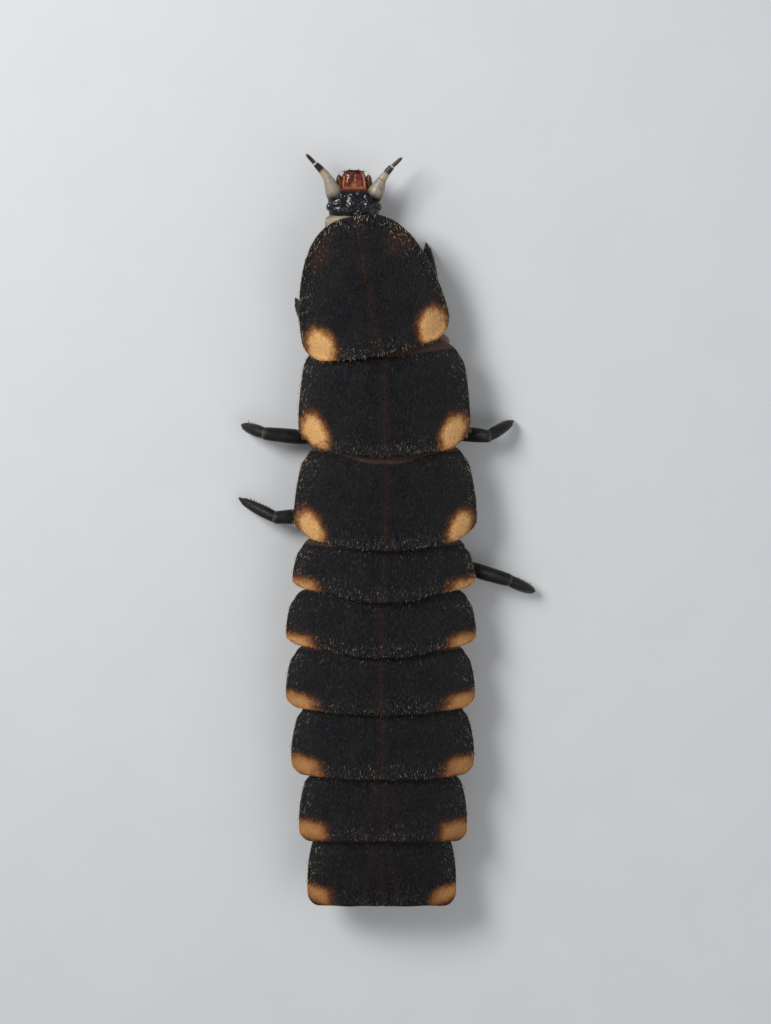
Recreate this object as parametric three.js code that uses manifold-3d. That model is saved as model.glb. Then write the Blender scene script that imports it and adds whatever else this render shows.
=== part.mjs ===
// A glow-worm larva, of the firefly family, life size, in millimetres, +Z up.
// The head points along +Y and the animal's left side is -X.
// Belly, feet and tail holdfast rest on small flats at z = 0.
import * as THREE from 'three';
import { mergeVertices } from 'three/addons/utils/BufferGeometryUtils.js';
import Module from 'manifold-3d';

const wasm = await Module();
wasm.setup();

// Whole body
const cut = 0.05; // gap between neighbouring pieces
const ridgeHeight = 2.46; // top of the back above the floor
const rimShare = 0.53; // height of a plate's side edge, as a share of the section's depth
const archPower = 2.2; // 2 is a round arch, more is flatter on top
const underPlate = 0.12; // clearance of the flesh under a plate
const step = 0.13; // each plate starts this far below the end of the one before it

// Back plates
const plateMid = 0.3; // thickness on the midline
const plateRim = 0.18; // thickness at the side edge
const frontRound = 0.1; // how far the front corners are drawn back, as a share of the length
const rearRound = 0.06; // how far the rear corners are drawn forward

// Pronotum, a blunt shield over the neck, turned towards the animal's left
const shieldLength = 4.18;
const shieldHalf = 2.2;
const shieldBluntness = 2.6; // power of the front outline across the body
const shieldSlope = 1.5; // power of the front outline along the body
const shieldSideStart = 3.1; // distance behind the apex where the sides run straight
const shieldCorner = 1.65; // half width where the front edge becomes the side edge
const shieldRim = 1.25; // height of its side edge
const shieldRidge = 2.32; // height of its rear end on the midline
const shieldVisor = 0.35; // share of the arch that is left at the apex
const shieldTurn = THREE.MathUtils.degToRad(10.6);
const shieldRear = new THREE.Vector3(-0.17, 5.66, 0); // middle of its rear edge

// The rings of the body behind the pronotum, front to rear: half widths of the plate and of the flesh,
// share of the width lost at the front, length along the back, x of the middle, clearance of the belly
const rings = [
  {
    part: 'mesothorax', plate: 'mesonotum', half: 2.6, body: 1.85, taper: 0.17,
    length: 3.06, x: -0.1, lift: 0.12,
  },
  {
    part: 'metathorax', plate: 'metanotum', half: 2.75, body: 1.95, taper: 0.12,
    length: 2.83, x: -0.07, lift: 0.08,
  },
  {
    part: 'abdomen_1', plate: 'tergite_1', half: 2.75, body: 2.2, taper: 0.1,
    length: 1.57, x: -0.14, lift: 0,
  },
  {
    part: 'abdomen_2', plate: 'tergite_2', half: 2.84, body: 2.3, taper: 0.08,
    length: 1.67, x: -0.2, lift: 0,
  },
  {
    part: 'abdomen_3', plate: 'tergite_3', half: 2.83, body: 2.3, taper: 0.09,
    length: 1.74, x: -0.21, lift: 0,
  },
  {
    part: 'abdomen_4', plate: 'tergite_4', half: 2.77, body: 2.22, taper: 0.11,
    length: 1.99, x: -0.13, lift: 0,
  },
  {
    part: 'abdomen_5', plate: 'tergite_5', half: 2.54, body: 2.05, taper: 0.12,
    length: 1.9, x: -0.12, lift: 0,
  },
];

// The end of the abdomen bends down and under the sixth plate: half widths of the plate and flesh, and the
// top and belly, as (y, z), of the section behind each ring
const tailX = -0.17;
const tail = [
  {
    part: 'abdomen_6', plate: 'tergite_6', half: 2.24, body: 1.78, taper: 0.11,
    back: [-11.17, 2.04], belly: [-10.52, 0.72],
  },
  {
    part: 'abdomen_7', plate: 'tergite_7', half: 1.85, body: 1.5, taper: 0.06,
    back: [-11.42, 1.06], belly: [-10.42, 0.56],
  },
  {
    part: 'abdomen_8', plate: 'tergite_8', half: 1.5, body: 1.2, taper: 0.06,
    back: [-11.36, 0.44], belly: [-10.46, 0.38],
  },
  {
    part: 'abdomen_9', plate: 'tergite_9', half: 1.05, body: 0.85, taper: 0.08,
    back: [-11.2, 0.2], belly: [-10.58, 0.2],
  },
];
const holdfast = { y: -10.88, half: 0.65, length: 0.62, height: 0.17 };

// Head
const headPlace = new THREE.Vector3(-0.99, 9.72, 0.93);
const headHalf = new THREE.Vector3(0.78, 0.74, 0.36);
const headBoxiness = 0.62; // 1 is an ellipsoid, less is squarer
const eyeRadius = 0.1;
const eyePlace = new THREE.Vector3(0.72, 0.17, 0.06);

// Legs: where the coxa starts and ends, the knee and the toe
const legThickness = { coxa: [0.38, 0.31], femur: [0.26, 0.25], tibia: [0.25, 0.21] };
const legs = [
  {
    name: 'leg_front_left',
    hip: [-1.15, 6.55, 0.62], joint: [-1.7, 6.0, 0.5],
    knee: [-2.2, 5.95, 0.72], toe: [-2.76, 7.08, 0.08],
  },
  {
    name: 'leg_front_right',
    hip: [0.35, 7.0, 0.62], joint: [0.85, 6.55, 0.48],
    knee: [1.3, 7.5, 0.74], toe: [1.14, 8.74, 0.08],
  },
  {
    name: 'leg_middle_left',
    hip: [-1.0, 3.6, 0.55], joint: [-2.1, 2.95, 0.42],
    knee: [-3.66, 3.08, 0.84], toe: [-4.4, 3.25, 0.08],
  },
  {
    name: 'leg_middle_right',
    hip: [0.8, 3.8, 0.55], joint: [1.75, 3.2, 0.42],
    knee: [3.02, 3.0, 0.86], toe: [3.8, 3.37, 0.08],
  },
  {
    name: 'leg_rear_left',
    hip: [-0.95, 0.95, 0.55], joint: [-2.05, 0.55, 0.42],
    knee: [-3.36, 0.52, 0.78], toe: [-4.5, 1.01, 0.08],
  },
  {
    name: 'leg_rear_right',
    hip: [0.85, 0.1, 0.55], joint: [1.95, -0.78, 0.42],
    knee: [3.66, -1.38, 0.82], toe: [4.5, -1.86, 0.08],
  },
];

const finishes = {
  plate: { color: 0x1c1b1e, roughness: 0.6, metalness: 0 },
  flesh: { color: 0x3a2c26, roughness: 0.7, metalness: 0 },
  collar: { color: 0x9a8468, roughness: 0.6, metalness: 0 },
  head: { color: 0x101014, roughness: 0.25, metalness: 0 },
  eye: { color: 0x050507, roughness: 0.08, metalness: 0 },
  antenna: { color: 0x9c8b76, roughness: 0.5, metalness: 0 },
  jaw: { color: 0x7a2c0e, roughness: 0.3, metalness: 0 },
  leg: { color: 0x191814, roughness: 0.45, metalness: 0 },
};

const lerp = THREE.MathUtils.lerp;

function arch(share) {
  return 1 - Math.min(1, Math.abs(share)) ** archPower;
}

function addMesh(parent, name, geometry, finish) {
  const mesh = new THREE.Mesh(geometry, new THREE.MeshStandardMaterial(finish));
  mesh.name = name;
  parent.add(mesh);
  return mesh;
}

// A closed block whose corners (u, v, w), each from -1 to 1, are moved to the point that place gives.
function mappedBlock(across, along, up, place) {
  const geometry = new THREE.BoxGeometry(2, 2, 2, across, along, up);
  const position = geometry.attributes.position;
  for (let i = 0; i < position.count; i += 1) {
    const point = place(position.getX(i), position.getY(i), position.getZ(i));
    position.setXYZ(i, point.x, point.y, point.z);
  }
  geometry.computeVertexNormals();
  return geometry;
}

// A limb with round section through the points, its radius running from the first value to the last.
function limb(points, radii, sides = 8, steps = 4) {
  const path = new THREE.CatmullRomCurve3(points.map((p) => new THREE.Vector3(...p)));
  const geometry = new THREE.CylinderGeometry(1, 1, 1, sides, steps);
  const position = geometry.attributes.position;
  const upward = new THREE.Vector3(0, 0, 1);
  for (let i = 0; i < position.count; i += 1) {
    const t = position.getY(i) + 0.5;
    const tangent = path.getTangentAt(t);
    const side = new THREE.Vector3().crossVectors(tangent, upward).normalize();
    const top = new THREE.Vector3().crossVectors(side, tangent);
    const endRounding = 0.6 + 0.4 * (1 - (2 * t - 1) ** 8);
    const radius = radiusAt(radii, t) * endRounding;
    const point = path.getPointAt(t);
    point.addScaledVector(side, position.getX(i) * radius);
    point.addScaledVector(top, position.getZ(i) * radius);
    position.setXYZ(i, point.x, point.y, point.z);
  }
  geometry.computeVertexNormals();
  return geometry;
}

function radiusAt(radii, t) {
  const reach = t * (radii.length - 1);
  const i = Math.min(radii.length - 2, Math.floor(reach));
  return lerp(radii[i], radii[i + 1], reach - i);
}

function welded(geometry) {
  const bare = geometry.clone();
  bare.deleteAttribute('normal');
  bare.deleteAttribute('uv');
  return mergeVertices(bare, 1e-4);
}

function toSolid(geometry) {
  const bare = welded(geometry);
  const vertProperties = bare.attributes.position.array;
  const triVerts = new Uint32Array(bare.index.array);
  return new wasm.Manifold(new wasm.Mesh({ numProp: 3, vertProperties, triVerts }));
}

function toGeometry(solid) {
  const mesh = solid.getMesh();
  const geometry = new THREE.BufferGeometry();
  geometry.setAttribute('position', new THREE.BufferAttribute(mesh.vertProperties, 3));
  geometry.setIndex(new THREE.BufferAttribute(mesh.triVerts, 1));
  geometry.computeVertexNormals();
  return geometry;
}

// The same shape with every point moved outwards by the given amount.
function grown(geometry, amount) {
  const bare = welded(geometry);
  bare.computeVertexNormals();
  const position = bare.attributes.position;
  const normal = bare.attributes.normal;
  for (let i = 0; i < position.count; i += 1) {
    const x = position.getX(i) + normal.getX(i) * amount;
    const y = position.getY(i) + normal.getY(i) * amount;
    const z = position.getZ(i) + normal.getZ(i) * amount;
    position.setXYZ(i, x, y, z);
  }
  return bare;
}

// Cuts the neighbours out of a piece with the usual gap, and keeps the largest body that is left.
function carve(geometry, neighbours) {
  let solid = toSolid(geometry);
  for (const neighbour of neighbours) solid = solid.subtract(toSolid(grown(neighbour, cut)));
  const bodies = solid.decompose();
  bodies.sort((a, b) => b.volume() - a.volume());
  return toGeometry(bodies[0]);
}

// Everything under z = 0 is cut off, which leaves a small flat where a piece meets the floor.
function aboveFloor(geometry) {
  const room = new THREE.BoxGeometry(60, 60, 10).translate(0, 0, 5);
  return toGeometry(toSolid(geometry).intersect(toSolid(room)));
}

// A cross-section of the body: the middle of its back and the middle of its belly in the plane of symmetry.
function crossSection(back, belly) {
  return { back: new THREE.Vector2(...back), belly: new THREE.Vector2(...belly) };
}

// A point at x, at a height above the belly along the section that lies between two others.
function bodyPoint(front, rear, s, x, heightOf) {
  const back = front.back.clone().lerp(rear.back, s);
  const belly = front.belly.clone().lerp(rear.belly, s);
  const upward = back.clone().sub(belly);
  const depth = upward.length();
  const point = belly.addScaledVector(upward.divideScalar(depth), heightOf(depth));
  return new THREE.Vector3(x, point.x, point.y);
}

function plateTop(depth, share, s) {
  return depth * lerp(rimShare, 1, arch(share)) - step * (1 - s);
}

function plateThickness(share) {
  return lerp(plateRim, plateMid, arch(share));
}

function backPlate(ring, front, rear) {
  return mappedBlock(12, 3, 1, (u, v, w) => {
    const s = (1 - v) / 2;
    const side = ring.half * (1 - ring.taper * (1 - s) ** 2.5 - 0.05 * s ** 8);
    const reach = s + frontRound * u ** 4 * (1 - s) - rearRound * u ** 8 * s;
    const trimmed = lerp(ring.margin, 1 - ring.margin, reach);
    const depthBelowTop = ((1 - w) / 2) * plateThickness(u);
    return bodyPoint(front, rear, trimmed, ring.x + u * side, (depth) => {
      return plateTop(depth, u, s) - depthBelowTop;
    });
  });
}

// The soft body under a plate: flat below, bulging at the sides, and fitted to the underside of the plate.
function fleshRing(ring, front, rear) {
  return mappedBlock(8, 2, 2, (u, v, w) => {
    const s = (1 - v) / 2;
    const height = (w + 1) / 2;
    const bulge = 0.78 + 0.22 * Math.sin(Math.PI * (0.15 + 0.6 * height));
    const x = u * ring.body * bulge;
    const share = x / ring.half;
    const trimmed = lerp(ring.margin, 1 - ring.margin, s);
    const roundedCorner = 0.7 * Math.max(0, Math.abs(u) - 0.6) ** 1.5;
    return bodyPoint(front, rear, trimmed, ring.x + x, (depth) => {
      const top = plateTop(depth, share, s) - plateThickness(share) - underPlate;
      return lerp(Math.min(roundedCorner, 0.5 * top), top, height);
    });
  });
}

// Half width of the pronotum at a distance behind its apex
function shieldOutline(behind) {
  const t = Math.min(1, behind / shieldSideStart);
  const alongSide = Math.max(0, (behind - shieldSideStart) / (shieldLength - shieldSideStart));
  const rearNarrowing = 0.06 * alongSide ** 3;
  return shieldHalf * ((1 - (1 - t) ** shieldSlope) ** (1 / shieldBluntness) - rearNarrowing);
}

// How far behind the apex the front edge of the pronotum reaches a half width
function shieldFrontDrop(x) {
  const t = (1 - Math.abs(x / shieldHalf) ** shieldBluntness) ** (1 / shieldSlope);
  return shieldSideStart * (1 - t);
}

function shieldTop(x, y) {
  const behind = Math.max(0, shieldLength - y) / shieldLength;
  const visor = 1 - (1 - shieldVisor) * (1 - behind) ** 2.2;
  return shieldRim + (shieldRidge - shieldRim) * arch(x / shieldHalf) * visor;
}

function turnedWithShield(point) {
  return point.applyAxisAngle(new THREE.Vector3(0, 0, 1), shieldTurn).add(shieldRear);
}

function pronotum() {
  const cornerBehind = shieldFrontDrop(shieldCorner);
  return mappedBlock(12, 6, 1, (u, v, w) => {
    const s = (1 - v) / 2;
    const x = u * shieldOutline(lerp(cornerBehind, shieldLength, s));
    const frontEdge = shieldLength - shieldFrontDrop(u * shieldCorner);
    const y = lerp(frontEdge, cut + 0.25 * u ** 8, s);
    const z = shieldTop(x, y) - ((1 - w) / 2) * plateThickness(x / shieldHalf);
    return turnedWithShield(new THREE.Vector3(x, y, z));
  });
}

function prothorax() {
  const frontY = 3.1;
  const halfWidth = { rear: 1.6, front: 1.1 };
  const bellyHeight = { rear: 0.2, front: 0.42 };
  return mappedBlock(8, 3, 2, (u, v, w) => {
    const forward = (v + 1) / 2;
    const height = (w + 1) / 2;
    const bulge = 0.8 + 0.2 * Math.sin(Math.PI * height);
    const x = u * bulge * lerp(halfWidth.rear, halfWidth.front, forward ** 2);
    const y = lerp(cut, frontY, forward);
    const top = shieldTop(x, y) - plateThickness(x / shieldHalf) - cut;
    const bottom = lerp(bellyHeight.rear, bellyHeight.front, forward) + 0.25 * u ** 4;
    return turnedWithShield(new THREE.Vector3(x, y, lerp(bottom, top, height)));
  });
}

function headCapsule() {
  const geometry = new THREE.SphereGeometry(1, 16, 10);
  geometry.rotateX(Math.PI / 2);
  const position = geometry.attributes.position;
  const squared = (value, power) => Math.sign(value) * Math.abs(value) ** power;
  for (let i = 0; i < position.count; i += 1) {
    const y = squared(position.getY(i), headBoxiness);
    const narrowing = y > 0 ? 1 - 0.3 * y ** 3 : 1 - 0.12 * y ** 2;
    const x = squared(position.getX(i), headBoxiness) * narrowing;
    const z = squared(position.getZ(i), 0.85) * (1 - 0.25 * Math.max(0, y));
    position.setXYZ(i, x * headHalf.x, y * headHalf.y, z * headHalf.z);
  }
  geometry.computeVertexNormals();
  return geometry;
}

function addHead(parent, thoraxFront) {
  const group = new THREE.Group();
  group.position.copy(headPlace);
  parent.add(group);

  const capsule = headCapsule();
  const carvings = [];
  for (const [side, sign] of [['left', -1], ['right', 1]]) {
    const eye = new THREE.SphereGeometry(eyeRadius, 10, 6);
    eye.translate(sign * eyePlace.x, eyePlace.y, eyePlace.z);
    addMesh(group, `eye_${side}`, eye, finishes.eye);

    const feeler = antenna(sign);
    addMesh(group, `antenna_${side}`, feeler, finishes.antenna);

    const jaw = mandible(sign);
    addMesh(group, `mandible_${side}`, jaw, finishes.jaw);

    const palp = carve(limb(
      [[sign * 0.36, 0.5, -0.22], [sign * 0.44, 0.8, -0.2], [sign * 0.5, 1.08, -0.12]],
      [0.17, 0.16, 0.12],
    ), [feeler, jaw]);
    addMesh(group, `palp_${side}`, palp, finishes.jaw);
    carvings.push(eye, feeler, jaw, palp);
  }
  addMesh(group, 'head', carve(capsule, carvings), finishes.head);

  const toHead = headPlace.clone().negate();
  const inHeadFrame = thoraxFront.map((piece) => piece.clone().translate(toHead.x, toHead.y, toHead.z));
  const collar = new THREE.SphereGeometry(1, 16, 8);
  collar.rotateX(Math.PI / 2);
  collar.scale(0.9, 0.62, 0.4);
  collar.translate(0.06, -0.62, 0.02);
  addMesh(group, 'neck', carve(collar, [capsule, ...inHeadFrame]), finishes.collar);
}

function antenna(sign) {
  const points = sign < 0
    ? [[-0.56, 0.4, 0.1], [-0.68, 0.86, 0.1], [-1.02, 1.3, 0.14], [-1.4, 1.72, 0.2]]
    : [[0.56, 0.4, 0.1], [0.7, 0.9, 0.1], [1.05, 1.22, 0.14], [1.41, 1.61, 0.2]];
  return limb(points, [0.2, 0.22, 0.2, 0.18], 8, 6);
}

// A flat sickle from the front corner of the head, closing towards the middle, beside its fellow
function mandible(sign) {
  const points = [[0.23, 0.5, -0.02], [0.26, 0.85, 0], [0.19, 1.1, 0.02], [0.15, 1.2, 0.02]];
  return limb(points.map(([x, y, z]) => [sign * x, y, z]), [0.17, 0.17, 0.12, 0.1], 8, 5);
}

function addLeg(parent, leg, cutters) {
  const coxa = limb([leg.hip, leg.joint], legThickness.coxa, 8, 4);
  const thigh = limb([leg.joint, leg.knee], legThickness.femur);
  const shin = limb([leg.knee, leg.toe], legThickness.tibia);
  addMesh(parent, `${leg.name}_coxa`, coxa, finishes.leg);
  addMesh(parent, `${leg.name}_femur`, carve(thigh, [coxa]), finishes.leg);
  addMesh(parent, `${leg.name}_tibia`, aboveFloor(carve(shin, [thigh])), finishes.leg);
  cutters.push(coxa, thigh);
}

// The holdfast at the end of the tail, a low pad with a flat sole
function tailFoot() {
  return mappedBlock(4, 2, 1, (u, v, w) => {
    const x = tailX + u * holdfast.half * (1 - 0.2 * v * v);
    const y = holdfast.y + (v * holdfast.length * (1 - 0.25 * u * u)) / 2;
    const z = w < 0 ? 0 : holdfast.height * (1 - 0.35 * u * u);
    return new THREE.Vector3(x, y, z);
  });
}

const larva = new THREE.Group();
const legGroup = new THREE.Group();
const trunkGroup = new THREE.Group();
larva.add(legGroup, trunkGroup);

const legSolids = [];
for (const leg of legs) addLeg(legGroup, leg, legSolids);

const shield = pronotum();
const firstThorax = prothorax();
addMesh(trunkGroup, 'pronotum', shield, finishes.plate);
addMesh(trunkGroup, 'prothorax', carve(firstThorax, legSolids.slice(0, 4)), finishes.flesh);
addHead(larva, [shield, firstThorax]);

let frontSection = crossSection([shieldRear.y, ridgeHeight], [shieldRear.y, rings[0].lift]);
for (const [i, ring] of rings.entries()) {
  const y = frontSection.back.x - ring.length;
  const rearSection = crossSection([y, ridgeHeight], [y, rings[Math.min(i + 1, rings.length - 1)].lift]);
  addRing(ring, frontSection, rearSection);
  frontSection = rearSection;
}
for (const ring of tail) {
  const rearSection = crossSection(ring.back, ring.belly);
  addRing({ ...ring, x: tailX }, frontSection, rearSection);
  frontSection = rearSection;
}

function addRing(ring, front, rear) {
  const length = front.back.distanceTo(rear.back);
  const sized = { ...ring, margin: cut / 2 / length };
  // The turned pronotum and its ring overhang the left front of the next ring.
  const overhang = ring.plate === 'mesonotum' ? [shield, firstThorax] : [];
  const plate = carve(backPlate(sized, front, rear), overhang);
  const flesh = carve(fleshRing(sized, front, rear), [...overhang, ...legSolids]);
  addMesh(trunkGroup, ring.plate, plate, finishes.plate);
  addMesh(trunkGroup, ring.part, flesh, finishes.flesh);
}

addMesh(trunkGroup, 'pygopod', tailFoot(), finishes.collar);

export default larva;
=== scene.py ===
import math

import bmesh
import bpy
import numpy as np
from mathutils import Matrix, Vector


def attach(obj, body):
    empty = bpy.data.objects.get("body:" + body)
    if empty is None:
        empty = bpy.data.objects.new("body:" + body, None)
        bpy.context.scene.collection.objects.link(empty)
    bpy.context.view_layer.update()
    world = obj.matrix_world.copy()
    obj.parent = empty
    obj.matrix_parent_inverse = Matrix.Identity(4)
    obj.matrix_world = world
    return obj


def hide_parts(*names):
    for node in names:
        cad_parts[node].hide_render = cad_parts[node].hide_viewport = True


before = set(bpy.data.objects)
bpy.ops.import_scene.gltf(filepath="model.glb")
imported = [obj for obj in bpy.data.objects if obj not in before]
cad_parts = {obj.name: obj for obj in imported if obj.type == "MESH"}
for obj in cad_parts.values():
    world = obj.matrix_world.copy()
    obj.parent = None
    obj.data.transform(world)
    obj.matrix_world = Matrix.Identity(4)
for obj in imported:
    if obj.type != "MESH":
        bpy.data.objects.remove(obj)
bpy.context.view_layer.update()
print("frame loaded")

mm = 0.001  # shapes are worked out in millimetres, meshes are stored in metres


def lerp(a, b, t):
    return a + (b - a) * t


def smoothStep(low, high, value):
    t = np.clip((value - low) / (high - low), 0, 1)
    return t * t * (3 - 2 * t)


def hump(distance, width):
    return np.exp(-(distance / width) ** 2)


def softNoise(x, y, wave, seed):
    # an uneven surface from crossed waves of about the given length, between -1 and 1
    rng = np.random.default_rng(seed)
    total = np.zeros_like(x)
    for _ in range(8):
        angle = rng.uniform(0, 2 * math.pi)
        length = wave * rng.uniform(0.6, 1.6)
        phase = rng.uniform(0, 2 * math.pi)
        total += np.sin((x * math.cos(angle) + y * math.sin(angle)) * 2 * math.pi / length + phase)
    return total / 4


def smoothRows(rows, steps):
    # a smooth curve through the rows
    rows = np.asarray(rows, float)
    padded = np.vstack([2 * rows[0] - rows[1], rows, 2 * rows[-1] - rows[-2]])
    result = []
    for k in range(len(rows) - 1):
        p0, p1, p2, p3 = padded[k:k + 4]
        for t in np.arange(steps) / steps:
            result.append(0.5 * (2 * p1 + (p2 - p0) * t + (2 * p0 - 5 * p1 + 4 * p2 - p3) * t * t
                                 + (3 * p1 - p0 - 3 * p2 + p3) * t ** 3))
    result.append(rows[-1])
    return np.array(result)


def unit(vectors):
    return vectors / np.maximum(np.linalg.norm(vectors, axis=-1, keepdims=True), 1e-9)


def clustered(count, low, high):
    # steps that crowd towards both ends, where the edges are rounded
    t = np.linspace(-1, 1, count)
    t = 0.38 * t + 0.62 * np.sin(t * math.pi / 2)
    return lerp(low, high, (t + 1) / 2)


def turned(points, degrees, centre):
    angle = math.radians(degrees)
    x, y = points[..., 0] - centre[0], points[..., 1] - centre[1]
    result = points.copy()
    result[..., 0] = centre[0] + x * math.cos(angle) - y * math.sin(angle)
    result[..., 1] = centre[1] + x * math.sin(angle) + y * math.cos(angle)
    return result


def around(sides):
    # the angles of the corners of a ring
    return np.arange(sides) / sides * 2 * math.pi


def blunt(wave, power):
    # makes a round section squarer
    return np.sign(wave) * np.abs(wave) ** power


# Meshes: a part is its points, its faces, its attributes and the number of its material

def gridFaces(rows, columns):
    index = np.arange(rows * columns).reshape(rows, columns)
    quads = np.stack([index[:-1, :-1], index[:-1, 1:], index[1:, 1:], index[1:, :-1]], axis=-1)
    return quads.reshape(-1, 4).tolist()


def loftPart(rings, attributes=None):
    # a closed body through the rings, shut at both ends by a point
    count, sides, _ = rings.shape
    points = np.vstack([rings.reshape(-1, 3), rings[0].mean(axis=0), rings[-1].mean(axis=0)])
    index = np.arange(count * sides).reshape(count, sides)
    following = np.roll(index, -1, axis=1)
    quads = np.stack([index[:-1], following[:-1], following[1:], index[1:]], axis=-1).reshape(-1, 4)
    first = [(count * sides, int(b), int(a)) for a, b in zip(index[0], following[0])]
    last = [(count * sides + 1, int(a), int(b)) for a, b in zip(index[-1], following[-1])]
    values = {}
    for key, field in (attributes or {}).items():
        field = np.broadcast_to(field, (count, sides))
        values[key] = np.concatenate([field.ravel(), [field[0].mean(), field[-1].mean()]])
    return dict(points=points, faces=quads.tolist() + first + last, attributes=values, material=0)


def tubeRings(rows, sides, flatten=1.0):
    # rings round a path of x, y, z and radius, with rounded ends
    rows = np.asarray(rows, float)
    ends = []
    for end, inner in ((rows[0], rows[1]), (rows[-1], rows[-2])):
        outward = unit(end[:3] - inner[:3])
        cap = []
        for degrees in (80, 55, 30):
            angle = math.radians(degrees)
            cap.append([*(end[:3] + outward * end[3] * 0.7 * math.sin(angle)), end[3] * math.cos(angle)])
        ends.append(cap)
    rows = np.vstack([ends[0], rows, ends[1][::-1]])
    centres, radii = rows[:, :3], rows[:, 3]
    tangents = unit(np.gradient(centres, axis=0))
    side = np.cross(tangents[0], (0.0, 0.0, 1.0))
    side = unit(side if np.linalg.norm(side) > 0.1 else np.cross(tangents[0], (0.0, 1.0, 0.0)))
    angles = around(sides)
    rings = []
    for centre, tangent, radius in zip(centres, tangents, radii):
        side = unit(side - tangent * np.dot(side, tangent))
        up = np.cross(side, tangent)
        section = np.outer(np.cos(angles), side) + flatten * np.outer(np.sin(angles), up)
        rings.append(centre + radius * section)
    return np.array(rings), centres


def tubePart(rows, sides, attributes=None):
    return loftPart(tubeRings(rows, sides)[0], attributes)


def spikePart(root, tip, radii, sides, attributes):
    # a straight hair that is thickest at its root
    middle = lerp(root, tip, 0.6)
    return tubePart([[*root, radii[0]], [*middle, radii[1]], [*tip, radii[2]]], sides, attributes)


def rippled(rings, along, depth, wave, seed):
    # the uneven skin of a limb
    ripple = 1 + depth * softNoise(*np.meshgrid(np.arange(rings.shape[1]) * 0.35, along), wave, seed)
    middle = rings.mean(axis=1, keepdims=True)
    return middle + (rings - middle) * ripple[..., None]


def aboveFloor(parts):
    for part in parts:
        part["points"][:, 2] = np.maximum(part["points"][:, 2], 0.0)
    return parts


def makeObject(name, parts, materials):
    keys = {}
    for part in parts:
        for key, values in part["attributes"].items():
            keys[key] = values.ndim
    points = np.vstack([part["points"] for part in parts])
    faces, slots, offset = [], [], 0
    for part in parts:
        faces += [tuple(corner + offset for corner in face) for face in part["faces"]]
        slots += [part["material"]] * len(part["faces"])
        offset += len(part["points"])
    mesh = bpy.data.meshes.new(name)
    mesh.from_pydata((points * mm).tolist(), [], faces)
    for key, depth in keys.items():
        kind, field = ("FLOAT", "value") if depth == 1 else ("FLOAT_VECTOR", "vector")
        values = []
        for part in parts:
            blank = np.zeros((len(part["points"]), 3)[:depth])
            values.append(part["attributes"].get(key, blank))
        values = np.concatenate(values).astype(np.float32).ravel()
        mesh.attributes.new(key, kind, "POINT").data.foreach_set(field, values)
    mesh.polygons.foreach_set("material_index", slots)
    mesh.polygons.foreach_set("use_smooth", [True] * len(faces))
    for material in materials:
        mesh.materials.append(material)
    mesh.update()
    piece = bpy.data.objects.new(name, mesh)
    bpy.context.scene.collection.objects.link(piece)
    return piece


def finishPiece(name, parts, materials, replaced=()):
    piece = makeObject(name, parts, materials)
    work = bmesh.new()
    work.from_mesh(piece.data)
    bmesh.ops.recalc_face_normals(work, faces=work.faces)
    work.to_mesh(piece.data)
    work.free()
    placePiece(piece, replaced)


def placePiece(piece, replaced=()):
    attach(piece, "root")
    if replaced:
        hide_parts(*replaced)


# Materials are read in millimetres, from the object's own coordinates

def shade(red, green, blue):
    # a colour as a paint chart gives it, 0 to 255
    shares = [part / 255 for part in (red, green, blue)]
    return (*((v / 12.92 if v <= 10 / 255 else ((v + 0.055) / 1.055) ** 2.4) for v in shares), 1.0)


class NodeKit:
    # makes the nodes of one tree; most calls add a node and hand back its output

    def __init__(self, tree):
        self.tree = tree

    def node(self, kind, values=None, **settings):
        node = self.tree.nodes.new(kind)
        for key, value in settings.items():
            setattr(node, key, value)
        for key, value in (values or {}).items():
            if isinstance(value, bpy.types.NodeSocket):
                self.tree.links.new(value, node.inputs[key])
            else:
                node.inputs[key].default_value = value
        return node

    def out(self, kind, values=None, **settings):
        return self.node(kind, values, **settings).outputs[0]

    def maths(self, operation, a, b=0.0):
        return self.out("ShaderNodeMath", {0: a, 1: b}, operation=operation)

    def plus(self, a, b):
        return self.maths("ADD", a, b)

    def times(self, a, b):
        return self.maths("MULTIPLY", a, b)

    def swing(self, noise, depth):
        # a noise moved to lie round 0, and scaled
        return self.times(self.maths("SUBTRACT", noise, 0.5), depth)

    def range(self, value, low, high, start=0.0, end=1.0):
        values = {"Value": value, "From Min": low, "From Max": high, "To Min": start, "To Max": end}
        return self.out("ShaderNodeMapRange", values, interpolation_type="SMOOTHSTEP")

    def mix(self, factor, a, b):
        return self.node("ShaderNodeMix", {0: factor, 6: a, 7: b}, data_type="RGBA").outputs[2]

    def blend(self, factor, a, b):
        return self.out("ShaderNodeMix", {0: factor, 2: a, 3: b}, data_type="FLOAT")

    def attribute(self, name):
        return self.node("ShaderNodeAttribute", attribute_name=name).outputs["Fac"]

    def ramp(self, value, stops):
        node = self.node("ShaderNodeValToRGB", {0: value})
        elements = node.color_ramp.elements
        while len(elements) < len(stops):
            elements.new(0.5)
        for element, (position, colour) in zip(elements, stops):
            element.position = position
            element.color = colour
        return node.outputs[0]

    def millimetres(self, stretch=(1.0, 1.0, 1.0)):
        coordinates = self.node("ShaderNodeTexCoord").outputs["Object"]
        scale = tuple(1000 * part for part in stretch)
        return self.out("ShaderNodeMapping", {"Vector": coordinates, "Scale": scale})

    def noise(self, where, scale, detail=4.0, rough=0.55, distortion=0.0):
        values = {"Vector": where, "Scale": scale, "Detail": detail, "Roughness": rough}
        return self.out("ShaderNodeTexNoise", {**values, "Distortion": distortion})

    def cells(self, where, scale, feature="F1"):
        return self.node("ShaderNodeTexVoronoi", {"Vector": where, "Scale": scale},
                         feature=feature).outputs[0]

    def bump(self, height, depth, strength=1.0, under=None):
        values = {"Height": height, "Distance": depth * mm, "Strength": strength}
        if under is not None:
            values["Normal"] = under
        return self.out("ShaderNodeBump", values)


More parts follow.
